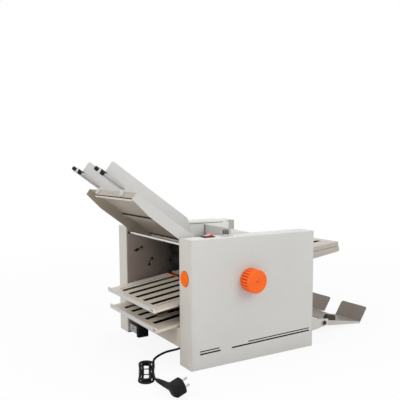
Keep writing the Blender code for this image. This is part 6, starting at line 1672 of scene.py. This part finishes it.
@dataclass
class MainsLead:
    """The mains lead: its free stretch, the tied hank, and the plug's pins and ribs."""

    radius: float = 0.00325
    real_length: float = 1.17
    route: tuple[Place, ...] = (
        (-0.165, -0.1425, 0.040),
        (-0.165, -0.1355, 0.040),
        (-0.1685, -0.1235, 0.0335),
        (-0.1765, -0.1075, 0.0205),
        (-0.188, -0.0905, 0.0125),
        (-0.204, -0.0810, 0.0075),
        (-0.221, -0.0835, 0.0048),
        (-0.237, -0.0920, 0.0040),
        (-0.252, -0.1045, 0.0040),
        (-0.2630, -0.1185, 0.0041),
        (-0.2715, -0.1350, 0.0043),
        (-0.2788, -0.1504, 0.00445),
    )
    run: float = 0.098
    outer: float = 0.021
    waist: float = 0.12
    turns: float = 1.5
    loop_gap: float = 0.0008
    start: Place = (-0.2822, -0.1576, 0)
    heading: float = math.radians(-115.6)
    low_z: float = 0.00445
    high_z: float = 0.01145
    exit_turn: float = math.radians(25)
    exit_radius: float = 0.032
    exit_steps: int = 4
    run_steps: int = 5
    arc_steps: int = 7
    fine_steps: int = 5
    boot_length: float = 0.046
    boot_gap: float = 0.0003
    neck_length: float = 0.030
    head_half: float = 0.018
    head_rise: float = 0.020
    head_depth: float = 0.032
    back_bevel: float = 0.007
    clearance: float = 0.001
    face_turn: float = math.radians(-2)
    face_tilt: float = math.radians(20)
    pin_spacing: float = 0.0095
    pin: Rings = ((0.00248, 0.0), (0.00248, 0.0147), (0.001984, 0.0158), (0.001116, 0.0161))
    rib_count: int = 6
    rib_start: float = 0.12
    rib_pitch: float = 0.14
    rib: Rings = ((-0.0004, 0.0), (0.0005, 0.0006), (0.0006, 0.0022), (-0.0003, 0.0029))
    boot_radius: Span = (0.0048, 0.0078)

    def hank(self) -> list[Vector]:
        """The hank's centre line: loops that spiral in, climb along a run and spiral out on top."""
        along = Vector((math.cos(self.heading), math.sin(self.heading), 0))
        across = Vector((along.y, -along.x, 0))
        middle = Vector(self.start) + along * self.run / 2 + across * self.outer
        half = self.run_steps + self.arc_steps
        step_in = (2 * self.radius + self.loop_gap) / (1 - self.waist)
        climb_start = round(self.turns * 2 * half)
        climb_end = climb_start + self.run_steps
        inner = self.outer - step_in * self.turns
        points = []
        for step in range(climb_start * 2 + self.run_steps + 1):
            if step <= climb_start:
                reach = self.outer - step_in * step / (2 * half)
            else:
                reach = inner + step_in * max(step - climb_end, 0) / (2 * half)
            climb = min(max((step - climb_start) / self.run_steps, 0), 1)
            height = self.low_z + (self.high_z - self.low_z) * climb
            sign = -1 if step % (2 * half) >= half else 1
            in_half = step % half
            if in_half <= self.run_steps:
                share = in_half / self.run_steps
                u = sign * self.run * (share - 0.5)
                v = -sign * reach * (1 - self.waist * math.sin(math.pi * share) ** 2)
            else:
                angle = math.pi * (in_half - self.run_steps) / self.arc_steps
                u = sign * (self.run / 2 + reach * math.sin(angle))
                v = -sign * reach * math.cos(angle)
            points.append(middle + along * u + across * v + Vector((0, 0, height)))
        return points + self.exit_bend(points)

    def exit_bend(self, points: Sequence[Vector]) -> list[Vector]:
        """The short bend that leads from the hank's last run to the plug.

        Args:
            points: the hank's centre line so far.

        Returns:
            The bend's points.
        """
        heading = points[-1] - points[-2]
        heading.z = 0
        heading.normalize()
        side = Vector((-heading.y, heading.x, 0))
        bend = []
        for step in range(1, self.exit_steps + 1):
            angle = self.exit_turn * step / self.exit_steps
            reach = heading * math.sin(angle) + side * (1 - math.cos(angle))
            bend.append(points[-1] + reach * self.exit_radius)
        last = (heading * math.cos(self.exit_turn) + side * math.sin(self.exit_turn)).normalized()
        return [*bend, bend[-1] + last * 2 * self.radius]

    def smoothed(self, points: Sequence[Vector]) -> list[Vector]:
        """Points on a smooth curve through others.

        Args:
            points: the points that it runs through.

        Returns:
            The curve's points.
        """
        padded = [points[0] * 2 - points[1], *points, points[-1] * 2 - points[-2]]
        curve = []
        for before, start, end, after in zip(padded, padded[1:], padded[2:], padded[3:]):
            bend = before * 2 - start * 5 + end * 4 - after
            twist = start * 3 - before - end * 3 + after
            for step in range(self.fine_steps):
                t = step / self.fine_steps
                curve.append((start * 2 + (end - before) * t + bend * t ** 2 + twist * t ** 3) / 2)
        return [*curve, points[-1].copy()]

    def cord(self, hank: Sequence[Vector]) -> Piece:
        """Model the cord as one open curve, from the gland to the plug.

        Args:
            hank: the hank's centre line.

        Returns:
            The cord.
        """
        points = self.smoothed([*map(Vector, self.route), *hank])
        curve = bpy.data.curves.new("mains_cord", "CURVE")
        curve.dimensions = "3D"
        curve.bevel_depth = self.radius
        curve.bevel_resolution = 3
        curve.use_fill_caps = True
        spline = curve.splines.new("POLY")
        spline.points.add(len(points) - 1)
        for target, point in zip(spline.points, points):
            target.co = (*point, 1)
        spline.use_smooth = True
        LOG.info("cord length %.3f m", sum((b - a).length for a, b in zip(points, points[1:])))
        return dressed(in_scene("mains_cord", curve), CORD_PVC)

    def plug_fittings(self, hank: Sequence[Vector]) -> list[Piece]:
        """Model the plug's pins and the ribs of its boot.

        Args:
            hank: the hank's centre line, which ends at the plug.

        Returns:
            The pins and the ribs.
        """
        along = (hank[-1] - hank[-2]).normalized()
        level = Matrix.Rotation(self.face_turn, 3, "Z") @ Vector((-along.y, along.x, 0))
        up = Vector((0, 0, 1))
        cosine, sine = math.cos(self.face_tilt), math.sin(self.face_tilt)
        facing = level * cosine + up * sine
        rising = up * cosine - level * sine
        begin = hank[-1] + along * self.boot_gap
        reach_down = self.head_rise * cosine + (self.head_depth / 2 - self.back_bevel) * sine
        lift = up * (self.clearance + reach_down - begin.z)
        middle = begin + along * (self.boot_length + self.neck_length + self.head_half) + lift
        fittings = []
        for number, way in enumerate((-1, 1), 1):
            root = middle + facing * (self.head_depth / 2) + rising * way * self.pin_spacing
            pin = Bench.turned(f"plug_pin_{number}", self.pin, standing(root, facing))
            fittings.append(dressed(pin, PIN_STEEL))
        end = begin + along * self.boot_length + lift / 4
        thin, thick = self.boot_radius
        for number in range(self.rib_count):
            share = self.rib_start + self.rib_pitch * number
            rings = [(thin + (thick - thin) * share + over, height) for over, height in self.rib]
            place = standing(begin.lerp(end, share), end - begin)
            rib = Bench.turned(f"boot_rib_{number + 1}", rings, place)
            fittings.append(dressed(rib, BLACK_RUBBER))
        return fittings

    def build(self, nodes: dict[str, Piece]) -> None:
        """Args:
            nodes: the CAD nodes by name; not used.
        """
        hank = self.hank()
        cord = self.cord(hank)
        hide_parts("cord_lead", "cord_hank")
        fittings = self.plug_fittings(hank)


@dataclass
class Studio:
    """Floor, soft light and the photograph's camera."""

    floor_side: float = 24.0
    floor_cuts: int = 8
    floor_z: float = -0.0004
    floor_albedo: float = 0.80
    white_near: float = 0.9
    fade: Span = (0.7, 2.4)
    ambient: float = 0.60
    ambient_tint: Colour = (1.0, 0.995, 0.985)
    lamps: tuple[tuple[str, Place, float, float], ...] = (
        ("key_box", (0.9, -2.6, 2.0), 1.8, 26),
        ("left_box", (-2.6, -0.6, 1.5), 1.6, 22),
        ("top_box", (-0.2, 0.4, 2.8), 2.0, 26),
    )
    lamp_aim: Place = (0.0, 0.0, 0.18)
    azimuth: float = math.radians(30.10)
    elevation: float = math.radians(5.93)
    roll: float = math.radians(-0.36)
    eye: Place = (-0.919, -1.4567, 0.5369)
    lens: float = 49.67
    sensor: float = 36.0
    shift: Span = (0.025, 0.0625)
    clip_end: float = 50

    def floor(self) -> None:
        """Lay the pale floor; the camera sees it whiter with the distance, and it keeps the shadow."""
        bpy.ops.mesh.primitive_plane_add(size=self.floor_side, location=(0, 0, self.floor_z))
        floor = bpy.context.active_object
        floor.name = "studio_floor"
        with Bench.editing(floor, "SELECT"):
            bpy.ops.mesh.subdivide(number_cuts=self.floor_cuts)
        material = bpy.data.materials.new("studio_floor_white")
        material.use_nodes = True
        tree = material.node_tree
        tree.nodes.clear()
        place = joined(tree, "ShaderNodeTexCoord", result="Object")
        distance = joined(tree, "ShaderNodeVectorMath", {0: place}, "Value", operation="LENGTH")
        ends = dict(zip(RANGE_ENDS, (*self.fade, self.white_near, 1.0)))
        fade = joined(tree, "ShaderNodeMapRange", {**ends, "Value": distance})
        by_camera = joined(tree, "ShaderNodeLightPath", result="Is Camera Ray")
        seen = joined(tree, "ShaderNodeMath", {0: fade, 1: by_camera}, operation="MULTIPLY")
        paper = joined(tree, "ShaderNodeBsdfDiffuse", {"Color": (*(self.floor_albedo,) * 3, 1)})
        white = joined(tree, "ShaderNodeEmission", {"Strength": 1.0})
        mix = joined(tree, "ShaderNodeMixShader", {0: seen, 1: paper, 2: white})
        joined(tree, "ShaderNodeOutputMaterial", {"Surface": mix})
        floor.data.materials.append(material)

    def world(self) -> None:
        """Light the scene evenly from all round; camera, gloss and glass see plain white."""
        world = bpy.data.worlds.new("studio_world")
        bpy.context.scene.world = world
        world.use_nodes = True
        tree = world.node_tree
        tree.nodes.clear()
        sees = joined(tree, "ShaderNodeLightPath", result="Is Camera Ray")
        for label in ("Is Glossy Ray", "Is Transmission Ray"):
            ray = joined(tree, "ShaderNodeLightPath", result=label)
            sees = joined(tree, "ShaderNodeMath", {0: sees, 1: ray}, operation="MAXIMUM")
        tint = (*self.ambient_tint, 1)
        soft = joined(tree, "ShaderNodeBackground", {"Color": tint, "Strength": self.ambient})
        white = joined(tree, "ShaderNodeBackground", {"Color": (1, 1, 1, 1), "Strength": 1.0})
        mix = joined(tree, "ShaderNodeMixShader", {0: sees, 1: soft, 2: white})
        joined(tree, "ShaderNodeOutputWorld", {"Surface": mix})

    def light(self) -> None:
        """Hang the square soft boxes; each has its place, its side and its power in watts."""
        for name, place, size, power in self.lamps:
            light = bpy.data.lights.new(name, "AREA")
            light.shape = "SQUARE"
            light.size = size
            light.energy = power
            turn = (Vector(self.lamp_aim) - Vector(place)).to_track_quat("-Z", "Y")
            in_scene(name, light).matrix_world = Matrix.Translation(place) @ turn.to_matrix().to_4x4()

    def camera(self) -> None:
        """Set the camera at the photograph's viewing angle."""
        sine, cosine = math.sin(self.azimuth), math.cos(self.azimuth)
        level = math.cos(self.elevation)
        back = Vector((-sine * level, -cosine * level, math.sin(self.elevation)))
        right = Vector((cosine, -sine, 0))
        up = back.cross(right)
        x_axis = right * math.cos(self.roll) + up * math.sin(self.roll)
        y_axis = up * math.cos(self.roll) - right * math.sin(self.roll)
        data = bpy.data.cameras.new("view")
        data.sensor_width = self.sensor
        data.lens = self.lens
        data.shift_x, data.shift_y = self.shift
        data.clip_end = self.clip_end
        camera = in_scene("view", data)
        turn = Matrix((x_axis, y_axis, back)).transposed().to_4x4()
        camera.matrix_world = Matrix.Translation(self.eye) @ turn
        bpy.context.scene.camera = camera

    def build(self) -> None:
        """Set the stage, the light and the camera."""
        self.floor()
        self.world()
        self.light()
        self.camera()
        bpy.context.scene.view_settings.view_transform = "Standard"


def main() -> None:
    """Build the looks in order."""
    logging.basicConfig(level=logging.INFO, format="%(message)s")
    for spare in list(bpy.data.objects):
        bpy.data.objects.remove(spare)
    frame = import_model()
    Bench.clear_selection()
    Studio().build()
    MainsLead().build(frame["nodes"])
    CadNodes(frame["nodes"]).dress()
    for group in (SideHousing, Controls, FeedTable, FeedHead, HandKnob, FoldSection, DeliveryEnd):
        group().build()


if __name__ == "__main__":
    main()
